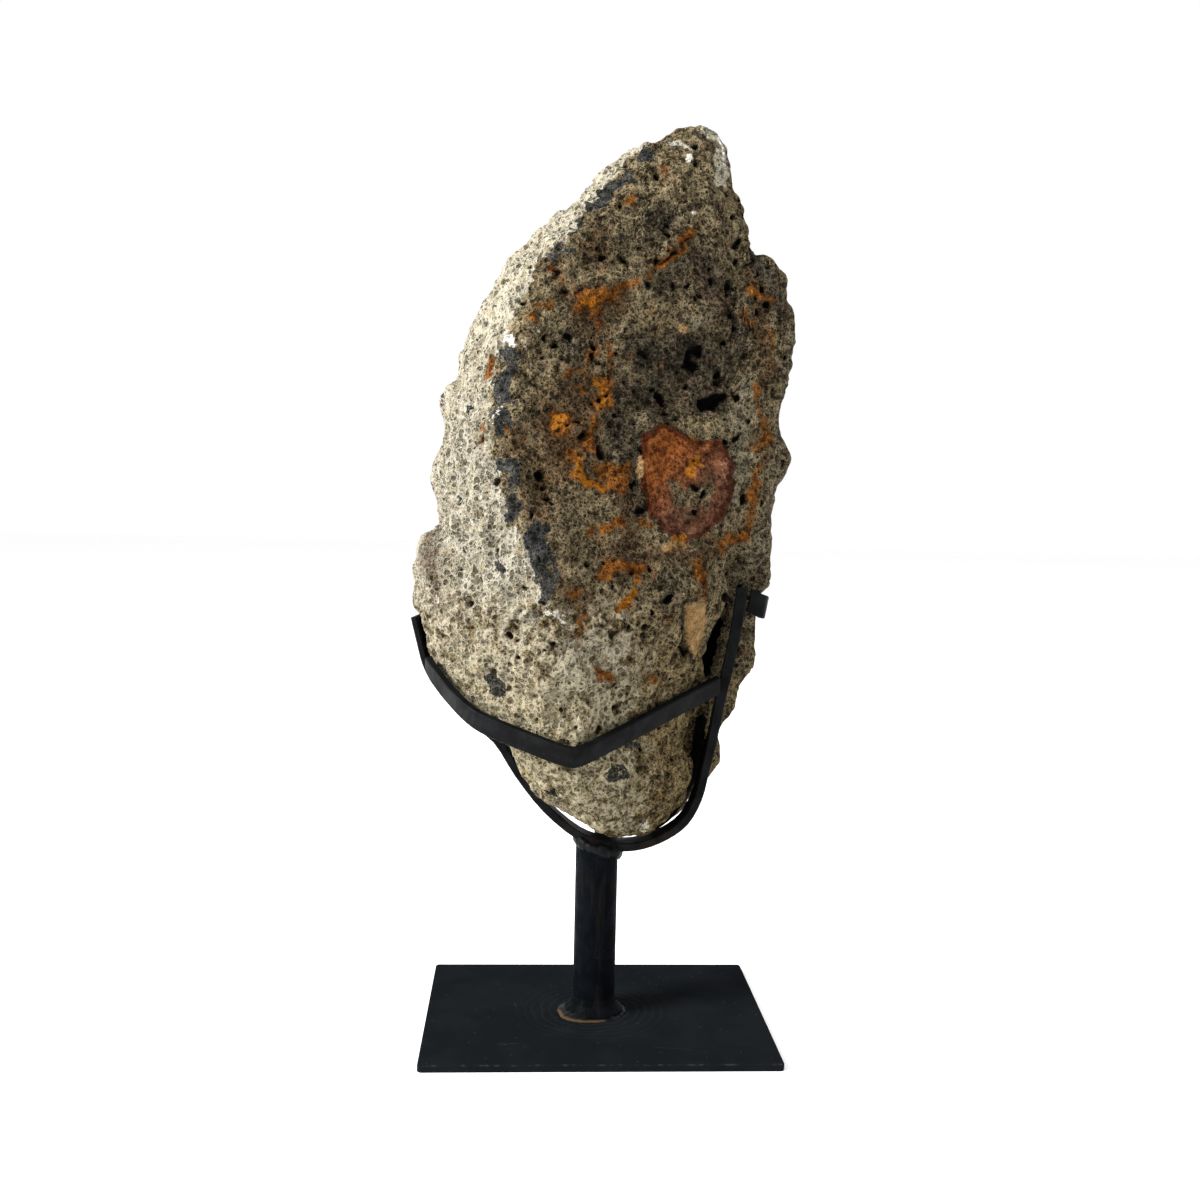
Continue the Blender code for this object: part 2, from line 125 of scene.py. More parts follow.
def relief(tree, height, strength, distance):
    """Bump from a height in millimetres."""
    return add_node(tree, "ShaderNodeBump", {"Height": height},
                    {"Strength": strength, "Distance": distance * MM}).outputs["Normal"]


def new_finish(name, roughness, specular=0.5, metallic=0.0):
    """A material with an empty Principled shader, and its node tree."""
    finish = bpy.data.materials.new(name)
    finish.use_nodes = True
    shader = finish.node_tree.nodes["Principled BSDF"]
    shader.inputs["Roughness"].default_value = roughness
    shader.inputs["Specular IOR Level"].default_value = specular
    shader.inputs["Metallic"].default_value = metallic
    return finish, finish.node_tree, shader


def satin_paint_group():
    """Marks of sprayed satin paint: cloudy patches, fine orange peel and dust specks."""
    group = bpy.data.node_groups.new("satin_paint_marks", "ShaderNodeTree")
    group.interface.new_socket("Place", in_out="INPUT", socket_type="NodeSocketVector")
    patch_size = group.interface.new_socket("Patch Size", in_out="INPUT",
                                            socket_type="NodeSocketFloat")
    patch_size.default_value = 14.0
    for name in ("Patches", "Peel", "Dust"):
        group.interface.new_socket(name, in_out="OUTPUT", socket_type="NodeSocketFloat")
    entry = group.nodes.new("NodeGroupInput")
    leave = group.nodes.new("NodeGroupOutput")
    scale = arithmetic(group, "DIVIDE", 1.0, entry.outputs["Patch Size"])
    patches = add_node(group, "ShaderNodeTexNoise",
                       {"Vector": entry.outputs["Place"], "Scale": scale},
                       {"Detail": 4.0, "Roughness": 0.6, "Distortion": 0.6}).outputs["Fac"]
    group.links.new(step_between(group, patches, 0.38, 0.66), leave.inputs["Patches"])
    peel = cloud(group, entry.outputs["Place"], 0.55, 2.0)
    group.links.new(peel, leave.inputs["Peel"])
    specks = add_node(group, "ShaderNodeTexVoronoi", {"Vector": entry.outputs["Place"]},
                      {"Scale": 0.22, "Randomness": 1.0})
    near = step_between(group, specks.outputs["Distance"], 0.075, 0.035)
    group.links.new(near, leave.inputs["Dust"])
    return group


paint_marks = satin_paint_group()


def use_paint_marks(tree, where, patch_size):
    made = tree.nodes.new("ShaderNodeGroup")
    made.node_tree = paint_marks
    made.inputs["Patch Size"].default_value = patch_size
    tree.links.new(where, made.inputs["Place"])
    return made.outputs["Patches"], made.outputs["Peel"], made.outputs["Dust"]


def scratch(tree, where, start, end, half_width):
    """A fine straight scratch on the plate's top, from start to end in millimetres."""
    middle = ((start[0] + end[0]) / 2, (start[1] + end[1]) / 2, 0.0)
    length = math.hypot(end[0] - start[0], end[1] - start[1])
    angle = math.atan2(end[1] - start[1], end[0] - start[0])
    moved = add_node(tree, "ShaderNodeMapping", {"Vector": where},
                     {"Location": middle, "Rotation": (0.0, 0.0, angle)},
                     vector_type="TEXTURE").outputs["Vector"]
    parts = add_node(tree, "ShaderNodeSeparateXYZ", {"Vector": moved})
    along = arithmetic(tree, "ABSOLUTE", parts.outputs["X"])
    across = arithmetic(tree, "ABSOLUTE", parts.outputs["Y"])
    inside = step_between(tree, along, length / 2, length / 2 - 1.5)
    thin = step_between(tree, across, half_width, half_width * 0.4)
    return arithmetic(tree, "MULTIPLY", inside, thin)


def where_part(tree, where, axis, middle):
    """One coordinate of a place, counted from a middle."""
    parts = add_node(tree, "ShaderNodeSeparateXYZ", {"Vector": where})
    return arithmetic(tree, "SUBTRACT", parts.outputs[axis], middle)


def plate_finish():
    finish, tree, shader = new_finish("plate_satin_black", 0.6, 0.0)
    where = millimetres(tree)
    patches, peel, dust = use_paint_marks(tree, where, 26.0)
    colour = tint(tree, patches, rgb(16, 18, 20), rgb(19, 21, 23))
    colour = tint(tree, arithmetic(tree, "MULTIPLY", dust, 0.4), colour, rgb(84, 83, 80))
    around = arithmetic(tree, "SQRT", arithmetic(
        tree, "MULTIPLY_ADD", where_part(tree, where, "X", POST_X), where_part(tree, where, "X", POST_X),
        arithmetic(tree, "POWER", where_part(tree, where, "Y", 0.0), 2.0)))
    brushed = step_between(tree, arithmetic(tree, "SINE", arithmetic(
        tree, "MULTIPLY_ADD", cloud(tree, where, 9.0, 4.0), 9.0,
        arithmetic(tree, "MULTIPLY", around, 1.7))), 0.8, 1.0)
    near = step_between(tree, around, 44.0, 16.0)
    brushed = arithmetic(tree, "MULTIPLY", brushed, arithmetic(tree, "MULTIPLY", near, 0.5))
    colour = tint(tree, brushed, colour, rgb(33, 35, 36))
    parts = add_node(tree, "ShaderNodeSeparateXYZ", {"Vector": where})
    side = arithmetic(tree, "SUBTRACT", arithmetic(tree, "ABSOLUTE", parts.outputs["X"]),
                      PLATE_HALF_WIDTH - 0.5)
    front = arithmetic(tree, "SUBTRACT", arithmetic(tree, "ABSOLUTE", parts.outputs["Y"]),
                       PLATE_HALF_DEPTH - 0.5)
    edge = step_between(tree, arithmetic(tree, "MAXIMUM", side, front), -0.25, 0.25)
    upper = step_between(tree, parts.outputs["Z"], 2.4, 3.1)
    chipped = step_between(tree, cloud(tree, where, 3.2, 4.0), 0.5, 0.62)
    worn = arithmetic(tree, "MULTIPLY", arithmetic(tree, "MULTIPLY", edge, upper), chipped)
    colour = tint(tree, arithmetic(tree, "MULTIPLY", worn, 0.4), colour, rgb(56, 56, 54))
    lines = None
    for start, end, half_width in PLATE_SCRATCHES:
        line = scratch(tree, where, start, end, half_width)
        lines = line if lines is None else arithmetic(tree, "MAXIMUM", lines, line)
    colour = tint(tree, arithmetic(tree, "MULTIPLY", lines, 0.3), colour, rgb(66, 68, 68))
    tree.links.new(colour, shader.inputs["Base Color"])
    gloss = add_node(tree, "ShaderNodeMapRange", {"Value": patches},
                     {"To Min": 0.56, "To Max": 0.44}).outputs["Result"]
    tree.links.new(gloss, shader.inputs["Roughness"])
    tree.links.new(relief(tree, peel, 0.25, 0.12), shader.inputs["Normal"])
    return finish


def dress(node_name, finish):
    """Give a CAD node its finish."""
    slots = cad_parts[node_name].data.materials
    slots.clear()
    slots.append(finish)


dress("base_plate", plate_finish())

# Post
# A length of 3/4 in round bar, welded upright in the middle of the plate. The weld at its foot
# runs out low and ragged, and bare brass-coloured slag shows along its front left edge.
SKIRT_STEPS = 144
SKIRT = ((9.75, 8.6), (10.3, 6.6), (11.2, 5.4), (12.9, 4.4), (14.3, 3.45), (14.5, 3.25))
SKIRT_SPREAD_TURN = math.radians(205)


def post_finish():
    finish, tree, shader = new_finish("post_satin_black", 0.5, 0.01)
    where = millimetres(tree)
    patches, peel, dust = use_paint_marks(tree, where, 9.0)
    colour = tint(tree, patches, rgb(5, 7, 9), rgb(9, 11, 15))
    streak = add_node(tree, "ShaderNodeMapping", {"Vector": where},
                      {"Scale": (0.35, 0.35, 0.05)}).outputs["Vector"]
    brown = step_between(tree, cloud(tree, streak, 1.0, 3.0), 0.5, 0.66)
    colour = tint(tree, arithmetic(tree, "MULTIPLY", brown, 0.6), colour, rgb(20, 17, 15))
    colour = tint(tree, arithmetic(tree, "MULTIPLY", dust, 0.2), colour, rgb(70, 72, 72))
    tree.links.new(colour, shader.inputs["Base Color"])
    gloss = add_node(tree, "ShaderNodeMapRange", {"Value": patches},
                     {"To Min": 0.56, "To Max": 0.4}).outputs["Result"]
    tree.links.new(gloss, shader.inputs["Roughness"])
    tree.links.new(relief(tree, peel, 0.3, 0.15), shader.inputs["Normal"])
    return finish


def weld_finish():
    finish, tree, shader = new_finish("weld_satin_black", 0.45, 0.06)
    where = millimetres(tree)
    patches, peel, dust = use_paint_marks(tree, where, 4.0)
    colour = tint(tree, patches, rgb(7, 8, 9), rgb(15, 16, 18))
    colour = tint(tree, arithmetic(tree, "MULTIPLY", dust, 0.4), colour, rgb(66, 62, 54))
    low = step_between(tree, where_part(tree, where, "Z", 0.0), 4.1, 3.6)
    left = step_between(tree, arithmetic(tree, "MULTIPLY_ADD", cloud(tree, where, 6.0), 14.0,
                                         where_part(tree, where, "X", 0.0)), 13.0, 9.0)
    front = step_between(tree, where_part(tree, where, "Y", 0.0), 1.0, -3.0)
    bare = arithmetic(tree, "MULTIPLY", arithmetic(tree, "MULTIPLY", low, left), front)
    colour = tint(tree, arithmetic(tree, "MULTIPLY", bare, 0.75), colour, rgb(74, 56, 34))
    tree.links.new(colour, shader.inputs["Base Color"])
    tree.links.new(relief(tree, peel, 0.4, 0.2), shader.inputs["Normal"])
    return finish


def add_piece(name, bm, finish, smooth_angle=50.0):
    """Make a finished bmesh in millimetres a piece of the object, in metres."""
    bmesh.ops.remove_doubles(bm, verts=bm.verts, dist=0.001)
    bmesh.ops.recalc_face_normals(bm, faces=bm.faces)
    bmesh.ops.scale(bm, vec=(MM, MM, MM), verts=bm.verts)
    mesh = bpy.data.meshes.new(name)
    bm.to_mesh(mesh)
    bm.free()
    mesh.shade_smooth()
    mesh.set_sharp_from_angle(angle=math.radians(smooth_angle))
    mesh.materials.append(finish)
    piece = bpy.data.objects.new(name, mesh)
    bpy.context.scene.collection.objects.link(piece)
    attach(piece, "root")
    return piece


weld_black = weld_finish()
dress("post", post_finish())

bm = bmesh.new()
inner = [(SKIRT[0][0] - 0.35, SKIRT[0][1]), (SKIRT[0][0] - 0.35, SKIRT[-1][1])]
section = [bm.verts.new((radius, 0, z)) for radius, z in (*SKIRT, *inner[::-1])]
section = [bm.edges.new(pair) for pair in zip(section, section[1:] + section[:1])]
bmesh.ops.spin(bm, geom=bm.verts[:] + bm.edges[:], axis=(0, 0, 1), cent=(0, 0, 0),
               angle=math.tau, steps=SKIRT_STEPS, use_merge=True)
for vert in bm.verts:
    reach = math.hypot(vert.co.x, vert.co.y)
    turn = math.atan2(vert.co.y, vert.co.x)
    low = max(0.0, (reach - SKIRT[0][0]) / (SKIRT[-1][0] - SKIRT[0][0]))
    around = Vector((math.cos(turn), math.sin(turn), 0.4))
    spread = 2.6 * max(0.0, math.cos(turn - SKIRT_SPREAD_TURN)) ** 3
    spread += 1.0 * noise.noise(around * 2.2) + 0.5 * noise.noise(around * 7.0)
    bump = 0.45 * noise.noise(around * 9.0 + Vector((0, 0, vert.co.z * 0.5)))
    vert.co.x += math.cos(turn) * low * (spread + bump)
    vert.co.y += math.sin(turn) * low * (spread + bump)
    if low > 0.05 and vert.co.z > 3.5:
        vert.co.z += 0.9 * noise.noise(around * 5.0) * (1.0 - low) + 0.5 * bump
bmesh.ops.translate(bm, vec=(POST_X, 0, 0), verts=bm.verts)
add_piece("weld_foot", bm, weld_black)

# Straps
# Flat bar, bent hot and hammered to the stone: a U under it, a V across its front, a hook over
# its right rim and a prong behind its foot, all sprayed with the post. A lumpy weld joins the U
# to the top of the post.
COLLAR_RADIUS = 9.4
COLLAR_THICK = 1.5
COLLAR_SPREAD = 0.6
STRAP_HOLD = 4.8


def strap_finish():
    finish, tree, shader = new_finish("strap_satin_black", 0.5, 0.04)
    where = millimetres(tree)
    patches, peel, dust = use_paint_marks(tree, where, 11.0)
    colour = tint(tree, patches, rgb(8, 8, 9), rgb(16, 17, 18))
    colour = tint(tree, arithmetic(tree, "MULTIPLY", dust, 0.2), colour, rgb(64, 62, 58))
    seat = step_between(tree, where_part(tree, where, "Z", 0.0), 96.0, 84.0)
    warm = step_between(tree, cloud(tree, where, 12.0, 3.0), 0.45, 0.6)
    colour = tint(tree, arithmetic(tree, "MULTIPLY", arithmetic(tree, "MULTIPLY", seat, warm), 0.5),
                  colour, rgb(36, 29, 24))
    tree.links.new(colour, shader.inputs["Base Color"])
    gloss = add_node(tree, "ShaderNodeMapRange", {"Value": patches},
                     {"To Min": 0.56, "To Max": 0.44}).outputs["Result"]
    tree.links.new(gloss, shader.inputs["Roughness"])
    hammered = arithmetic(tree, "ADD", arithmetic(tree, "MULTIPLY", peel, 0.3),
                          cloud(tree, where, 4.5, 2.0))
    tree.links.new(relief(tree, hammered, 0.3, 0.3), shader.inputs["Normal"])
    return finish


strap_black = strap_finish()
for node_name in ("under_strap", "front_strap", "rim_hook", "rear_prong"):
    dress(node_name, strap_black)

strap_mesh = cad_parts["under_strap"].data
strap_tree = BVHTree.FromPolygons([v.co / MM for v in strap_mesh.vertices],
                                  [tuple(p.vertices) for p in strap_mesh.polygons])
bm = bmesh.new()
section = bmesh.ops.create_circle(bm, segments=12, radius=COLLAR_THICK,
                                  matrix=Matrix.Rotation(math.radians(90), 4, "X"))
bmesh.ops.translate(bm, vec=(COLLAR_RADIUS, 0, 0), verts=section["verts"])
bmesh.ops.spin(bm, geom=bm.verts[:] + bm.edges[:], axis=(0, 0, 1), cent=(0, 0, 0),
               angle=math.tau, steps=SKIRT_STEPS, use_merge=True)
for vert in bm.verts:
    turn = math.atan2(vert.co.y, vert.co.x)
    middle = Vector((math.cos(turn), math.sin(turn), 0.0)) * COLLAR_RADIUS
    lump = noise.noise(middle * 0.22 + Vector((0, 0, 7))) + 0.5 * noise.noise(middle * 0.9)
    spread = 1.0 + 0.3 * lump + COLLAR_SPREAD * max(0.0, math.cos(turn)) ** 4
    below = Vector((middle.x + POST_X, max(-STRAP_HOLD, min(STRAP_HOLD, middle.y)), 40.0))
    under = strap_tree.ray_cast(below, Vector((0, 0, 1)))[0].z
    vert.co = middle + (vert.co - middle) * spread
    vert.co.z = under - 0.4 + vert.co.z * (1.6 + 0.3 * lump)
bmesh.ops.translate(bm, vec=(POST_X, 0, 0), verts=bm.verts)
add_piece("weld_top", bm, weld_black)

# Stone
# Half an agate nodule out of weathered lava: a frothy, pitted rind that is cream on the left
# and grey-brown in front, stained with iron and manganese, and one flat sawn and polished face
# behind. It stands loose in the straps.
SAWN_POINT = Vector((0, 24, 200))
SAWN_NORMAL = Vector((0, 1, -0.105)).normalized()
RIND_LEVELS = 3
RIND_TRIANGLES = 186000
CELL = 4.0
STEEL_REACH = 12.0
FIT_ROUNDS = 4
FIT_SHARE = 0.85
FIT_LIMIT = 1.8
TIP_RISE = 4.4
SHOULDER_RISE = 2.6
FOOT_RISE = 4.5
FOOT_RIGHT_RISE = 4.0
# Where the rim steps in or up: x and z, how far it reaches, and the step along x and z
RIM_STEPS = ((74, 352, 15.0, -8.5, 0.0), (64, 377, 14.0, -3.4, 0.0), (73, 344, 9.0, 0.0, 2.8))
FRONT_REACH = 10.0
SLAB_Z = (88, 108, 135, 175, 209, 230, 318, 404)
SLAB_X = (24, 33, 41, 51, 60, 69, 80, 90)
EXPOSED = (0.62, 0.615, 0.605, 1.0)

# Marks on the rind, each a line of x, z and half width on the front, in millimetres
MANGANESE = (
    ((16, 390, 3.5), (16, 387, 3.5)), ((39, 401, 2), (41, 401, 1.5)),
    ((5, 381, 1.5), (7, 378, 1.5), (9, 376, 2)),
    ((4, 374, 2), (0, 372, 2.5), (-4, 369, 3), (-8, 364, 2.5), (-11, 361, 2)),
    ((-15, 354, 1), (-19, 348, 1), (-21, 344, 1), (-24, 340, 1.5), (-27, 337, 1.5),
     (-30, 336, 1)),
    ((-19, 340, 1), (-18, 340, 1)), ((4, 348, 1.5), (4, 347, 1)),
    ((-62, 303, 0.5), (-62, 298, 0.5), (-63, 295, 0.5)), ((-42, 298, 1.5), (-42, 297, 1)),
    ((-47, 296, 2), (-43, 293, 3), (-40, 292, 2)), ((-42, 290, 2.5), (-45, 285, 2.5)),
    ((-49, 283, 2), (-45, 280, 3), (-43, 277, 2.5), (-47, 276, 2)),
    ((-52, 269, 1.5), (-48, 270, 2.5), (-45, 268, 2)), ((-47, 265, 2.5), (-47, 262, 1.5)),
    ((-47, 253, 1), (-47, 247, 2.5), (-45, 248, 2), (-42, 249, 3), (-41, 246, 2.5)),
    ((-41, 242, 2.5), (-43, 240, 1.5)), ((-42, 234, 2), (-41, 232, 1.5)),
    ((-39, 230, 2.5), (-43, 228, 2.5)),
    ((-29, 222, 2.5), (-33, 221, 3), (-31, 216, 3.5), (-30, 212, 4), (-27, 206, 3.5),
     (-26, 201, 3.5), (-28, 196, 2.5)),
    ((-61, 272, 2), (-62, 270, 1.5)), ((-72, 268, 1), (-72, 267, 1)),
    ((-74, 256, 0.5), (-73, 255, 0.5)), ((-75, 249, 0.5), (-75, 247, 0.5)),
    ((-63, 235, 1), (-62, 234, 1)), ((-60, 213, 1.5), (-59, 212, 1)),
    ((-75, 222, 0.5), (-76, 221, 0.5)), ((-47, 209, 2.5), (-45, 207, 2)),
    ((-49, 159, 2), (-45, 157, 3), (-42, 156, 1.5)), ((-21, 115, 1.5), (-20, 114, 1)),
    ((14, 131, 2), (11, 133, 1.5)), ((3, 121, 2.5), (7, 118, 2)),
    ((-73, 280, 2), (-74, 278, 1.5)),
)
# White crust spots, and painted highlight: the short lines about the tip's right side lighten a face turned away from
# the key light.
CHALK_AND_HIGHLIGHT = (
    ((-44, 304, 1.5), (-43, 301, 2), (-39, 300, 2), (-37, 298, 1)), ((-34, 305, 1), (-33, 303, 1)),
    ((-48, 271, 0.5), (-51, 265, 0.5)), ((-26, 190, 1.5), (-23, 188, 2), (-21, 186, 1)),
    # Painted highlight: these lines at the tip's right side lighten a face that turns away from the key light.
    ((49, 400, 1.5), (51, 394, 1.5), (50, 386, 1)), ((37, 360, 1), (37, 360, 1)), ((32, 388, 1), (34, 387, 1)), ((26, 396, 1), (28, 394, 1)),
    ((9, 129, 1), (12, 127, 0.5)), ((18, 93, 1), (19, 92, 1)), ((-71, 191, 1), (-69, 190, 0.5)),
    ((-61, 159, 0.5), (-60, 157, 0.5)),
)
IRON = (
    ((36, 354, 1.5), (30, 347, 2), (24, 341, 2), (19, 337, 1.5), (15, 332, 2)),
    ((11, 329, 1.5), (8, 327, 2), (1, 324, 2), (-6, 321, 3), (-11, 319, 3), (-14, 318, 3)),
    ((-7, 315, 2), (-6, 311, 1.5)), ((-28, 333, 1.5), (-25, 332, 2)),
    ((-22, 327, 1.5), (-22, 327, 1.5)), ((-29, 317, 2), (-28, 316, 1.5)),
    ((-32, 309, 2), (-33, 313, 1.5)),
    ((-19, 286, 1), (-17, 289, 1), (-13, 291, 1), (-10, 295, 1.5), (-6, 298, 1.5),
     (-3, 300, 1.5), (0, 297, 1.5), (1, 291, 1), (0, 286, 1), (-1, 281, 1.5), (-2, 276, 1.5)),
    ((-7, 285, 2), (-3, 284, 2.5), (-4, 280, 3), (-7, 277, 3)), ((-14, 281, 1), (-13, 280, 1)),
    ((-26, 270, 2.5), (-23, 268, 3.5), (-20, 268, 3), (-22, 263, 2.5)),
    ((-19, 257, 2), (-17, 255, 1.5)),
    ((-7, 268, 1.5), (-9, 264, 2), (-10, 260, 2.5), (-12, 256, 2)),
    ((-18, 252, 1), (-16, 249, 1.5), (-12, 245, 2), (-8, 242, 2), (-3, 239, 2)),
    ((-5, 248, 2), (-2, 246, 3), (3, 248, 2.5), (5, 249, 2)),
    ((1, 242, 3), (3, 241, 3), (6, 244, 2)), ((-7, 223, 2), (-2, 224, 1.5), (6, 226, 2)),
    ((13, 227, 1.5), (15, 226, 1.5)),
    ((-3, 206, 2.5), (1, 208, 3), (6, 209, 2.5), (11, 208, 2.5), (12, 206, 2)),
    ((20, 206, 1), (19, 204, 0.5)),
    ((39, 212, 2), (39, 208, 2), (40, 205, 2.5), (40, 200, 2), (40, 195, 1)),
    ((61, 338, 1), (63, 333, 1), (64, 330, 1.5), (67, 327, 1.5), (73, 326, 1)),
    ((60, 319, 1), (61, 317, 1.5), (63, 315, 1.5)),
    ((75, 311, 1), (74, 308, 0.5), (73, 302, 0.5), (73, 295, 0.5)),
    ((69, 287, 1.5), (66, 284, 2), (66, 280, 1), (68, 277, 0.5)),
    ((73, 268, 0.5), (72, 263, 1), (70, 260, 1), (67, 256, 1.5)), ((64, 263, 1.5), (65, 259, 1)),
    ((65, 247, 0.5), (64, 241, 1), (64, 234, 1.5), (64, 228, 1.5), (64, 224, 1.5), (58, 220, 2),
     (53, 218, 2), (48, 216, 2)),
    ((-51, 294, 1.5), (-51, 291, 1.5), (-52, 287, 2)),
    ((-52, 269, 0.5), (-53, 265, 0.5), (-54, 261, 0.5), (-54, 256, 0.5)),
    ((-43, 266, 1), (-43, 264, 0.5)), ((22, 380, 1.5), (22, 378, 1)),
    ((10, 369, 1), (8, 366, 2), (5, 364, 2)), ((45, 353, 0.5), (45, 352, 0.5)),
    ((-16, 196, 1.5), (-15, 193, 1)), ((-13, 190, 1.5), (-14, 186, 1), (-15, 180, 1)),
    ((-4, 166, 2.5), (-1, 162, 2)), ((23, 161, 1), (23, 160, 1)), ((19, 160, 1), (20, 159, 1)),
    ((35, 263, 1.5), (39, 262, 1.5)),
    ((66, 286, 1.5), (66, 279, 1), (69, 273, 1), (71, 266, 1.2), (68, 258, 1.5), (66, 250, 1),
     (65, 240, 1.5), (64, 232, 1.2), (64, 224, 2), (59, 218, 2), (50, 214, 1.5)),
    ((-2, 250, 2), (3, 246, 2.5), (7, 248, 2)),
)
GOLD = (
    ((-17, 251, 1), (-14, 248, 1.5), (-11, 244, 1.5), (-8, 241, 2), (-3, 239, 2)),
    ((12, 205, 1.5), (11, 200, 1.5), (8, 196, 2), (5, 193, 1.5), (4, 190, 1)),
    ((-7, 284, 1.5), (-4, 283, 2), (-5, 278, 1.5)), ((-24, 268, 2), (-22, 266, 2)),
    ((-13, 318, 1.5), (-8, 319, 1.5)), ((38, 255, 1.5), (35, 251, 2), (33, 247, 1.5)),
    ((26, 217, 2), (31, 218, 2)),
)
UMBER = (
    ((-24, 260, 6.5), (-21, 268, 5.5), (-27, 276, 3.5)),
    ((-10, 260, 5), (-14, 268, 4.5), (-12, 252, 4)),
    ((-16, 277, 4.5), (-22, 280, 4), (-10, 272, 3.5)),
    ((-6, 315, 5.5), (-12, 312, 5.5), (-6, 307, 4)),
    ((-9, 343, 4.5), (-5, 348, 4), (-8, 339, 3.5)), ((-29, 243, 4.5), (-30, 231, 4)),
    ((1, 211, 4.5), (12, 214, 4), (8, 219, 3.5)), ((-21, 203, 3), (-13, 195, 3)),
    ((39, 211, 4), (46, 216, 3.5)), ((-1, 240, 4.5), (6, 236, 3.5)),
    ((-39, 259, 3), (-34, 253, 3)), ((-79, 222, 4), (-77, 208, 5), (-72, 196, 4)),
    ((-27, 278, 4), (-24, 256, 6), (-19, 247, 4)), ((-12, 286, 4), (-9, 260, 4)),
    ((-3, 211, 3), (21, 214, 3), (34, 214, 3)), ((-17, 319, 4), (3, 321, 4)),
    ((65, 330, 3), (68, 313, 3), (71, 290, 3)), ((30, 250, 4), (38, 252, 5), (43, 250, 4)),
)
SLATE = (
    ((0, 275, 5), (3, 266, 6), (6, 257, 5), (2, 250, 3)),
    ((40, 304, 6.5), (35, 292, 6.5), (40, 282, 5.5), (27, 280, 4.5)),
    ((47, 293, 5.5), (45, 284, 5)), ((18, 354, 5), (22, 360, 4.5), (14, 348, 3)),
    ((31, 340, 3), (26, 332, 4), (22, 328, 3)), ((10, 240, 3), (11, 234, 3)),
    ((23, 201, 3.5), (26, 195, 3.5)), ((-23, 300, 3), (-16, 298, 3), (-18, 303, 3)),
    ((40, 280, 4.5), (50, 280, 3.5)),
    ((35, 280, 5), (49, 289, 6), (55, 307, 5)), ((0, 278, 4), (12, 257, 4), (9, 244, 4)),
    ((12, 300, 7), (22, 292, 8), (32, 300, 9), (44, 296, 9)), ((8, 284, 6), (20, 277, 7)),
    ((34, 345, 5), (48, 329, 6), (58, 312, 5)), ((65, 343, 4), (72, 336, 4), (77, 322, 4)),
)
MAUVE = (
    ((46, 327, 5.5), (49, 319, 5.5), (55, 325, 4)), ((38, 343, 4), (41, 350, 3.5)),
    ((51, 311, 5), (45, 313, 4)), ((50, 358, 3), (48, 367, 3)), ((34, 323, 4), (39, 335, 3.5)),
)
OLIVE = (
    ((56, 276, 4), (59, 268, 5), (59, 257, 5), (58, 246, 4.5), (56, 235, 3.5)),
    ((39, 316, 3), (34, 312, 3)), ((71, 340, 4.5), (74, 334, 3.5)), ((60, 281, 3), (62, 288, 3)),
)
PALE_SPOTS = (
    ((47, 401, 5), (51, 397, 5), (50, 388, 5), (48, 379, 4)), ((29, 397, 2), (35, 392, 2)),
)
# Painted shadow down the right side of the front, as lines of x, z and half width: drawn in colour only, no groove is
# cut.
CREVICE_SHADOW = (
    ((52, 194, 2), (53, 181, 3), (50, 169, 3), (48, 158, 3)),
    ((47, 135, 3), (44, 122, 3), (42, 112, 3), (37, 104, 3), (32, 96, 2.5), (25, 91, 2)),
)
TAN_GRAINS = (
    ((31, 311, 2), (32, 310, 1.5)), ((12, 253, 1), (12, 248, 1.5), (12, 246, 1)),
    ((23, 216, 1.5), (28, 218, 1.5), (32, 217, 1.5)),
)
HOLES = (
    ((-20, 323, 1.5),), ((-14, 324, 1),), ((-30, 245, 2),), ((-34, 245, 1),), ((-28, 241, 1),),
    ((-27, 236, 1.5),), ((-36, 273, 1),), ((19, 339, 1.5),), ((39, 327, 1.5),), ((54, 319, 2),),
    ((71, 324, 2),), ((67, 320, 1.5),), ((19, 283, 1.5),), ((22, 281, 2.5), (24, 278, 1.5)),
    ((24, 274, 1.5),), ((28, 272, 1),), ((25, 269, 1),), ((9, 269, 1),), ((0, 267, 1),),
    ((2, 263, 1),), ((-5, 255, 2), (-4, 257, 1)), ((0, 254, 1),),
    ((-11, 264, 1.5), (-13, 262, 1.5)), ((13, 232, 2),), ((10, 243, 1),), ((5, 287, 1),),
    ((10, 282, 1),), ((35, 301, 1.5), (33, 294, 2)), ((30, 291, 1),), ((33, 286, 1.5),),
    ((47, 287, 1.5),), ((41, 278, 2), (46, 280, 2.5), (52, 282, 1.5)),
    ((38, 241, 1.5), (35, 243, 1)), ((42, 240, 1.5), (40, 237, 1)), ((-6, 230, 1),), ((13, 299, 1),), ((30, 236, 1),),
    ((25, 197, 1.5), (24, 195, 2)), ((15, 183, 1.5),), ((15, 180, 1.5),), ((18, 171, 1.5),),
    ((16, 166, 1),), ((13, 163, 1),), ((-13, 142, 1),), ((9, 207, 1),),
    ((33, 174, 1), (34, 170, 1.5)), ((1, 211, 1),), ((38, 366, 1),), ((19, 378, 1),),
    ((32, 372, 1),), ((50, 363, 1),), ((-6, 342, 1),),
)
CRACKS = (
    ((54, 297, 0.5), (60, 301, 1), (64, 303, 0.5)),
    ((57, 337, 0.5), (61, 341, 1), (65, 344, 1), (68, 348, 0.5)),
    ((31, 192, 0.5), (33, 181, 0.5), (34, 173, 0.5)),
    ((43, 175, 0.5), (41, 171, 1), (40, 166, 1), (39, 162, 1)), ((58, 353, 1.5), (56, 349, 1.5)),
    ((35, 351, 0.5), (30, 347, 0.5), (26, 342, 1), (21, 338, 0.5)),
    ((66, 299, 0.5), (68, 294, 0.5), (70, 289, 0.5)),
)
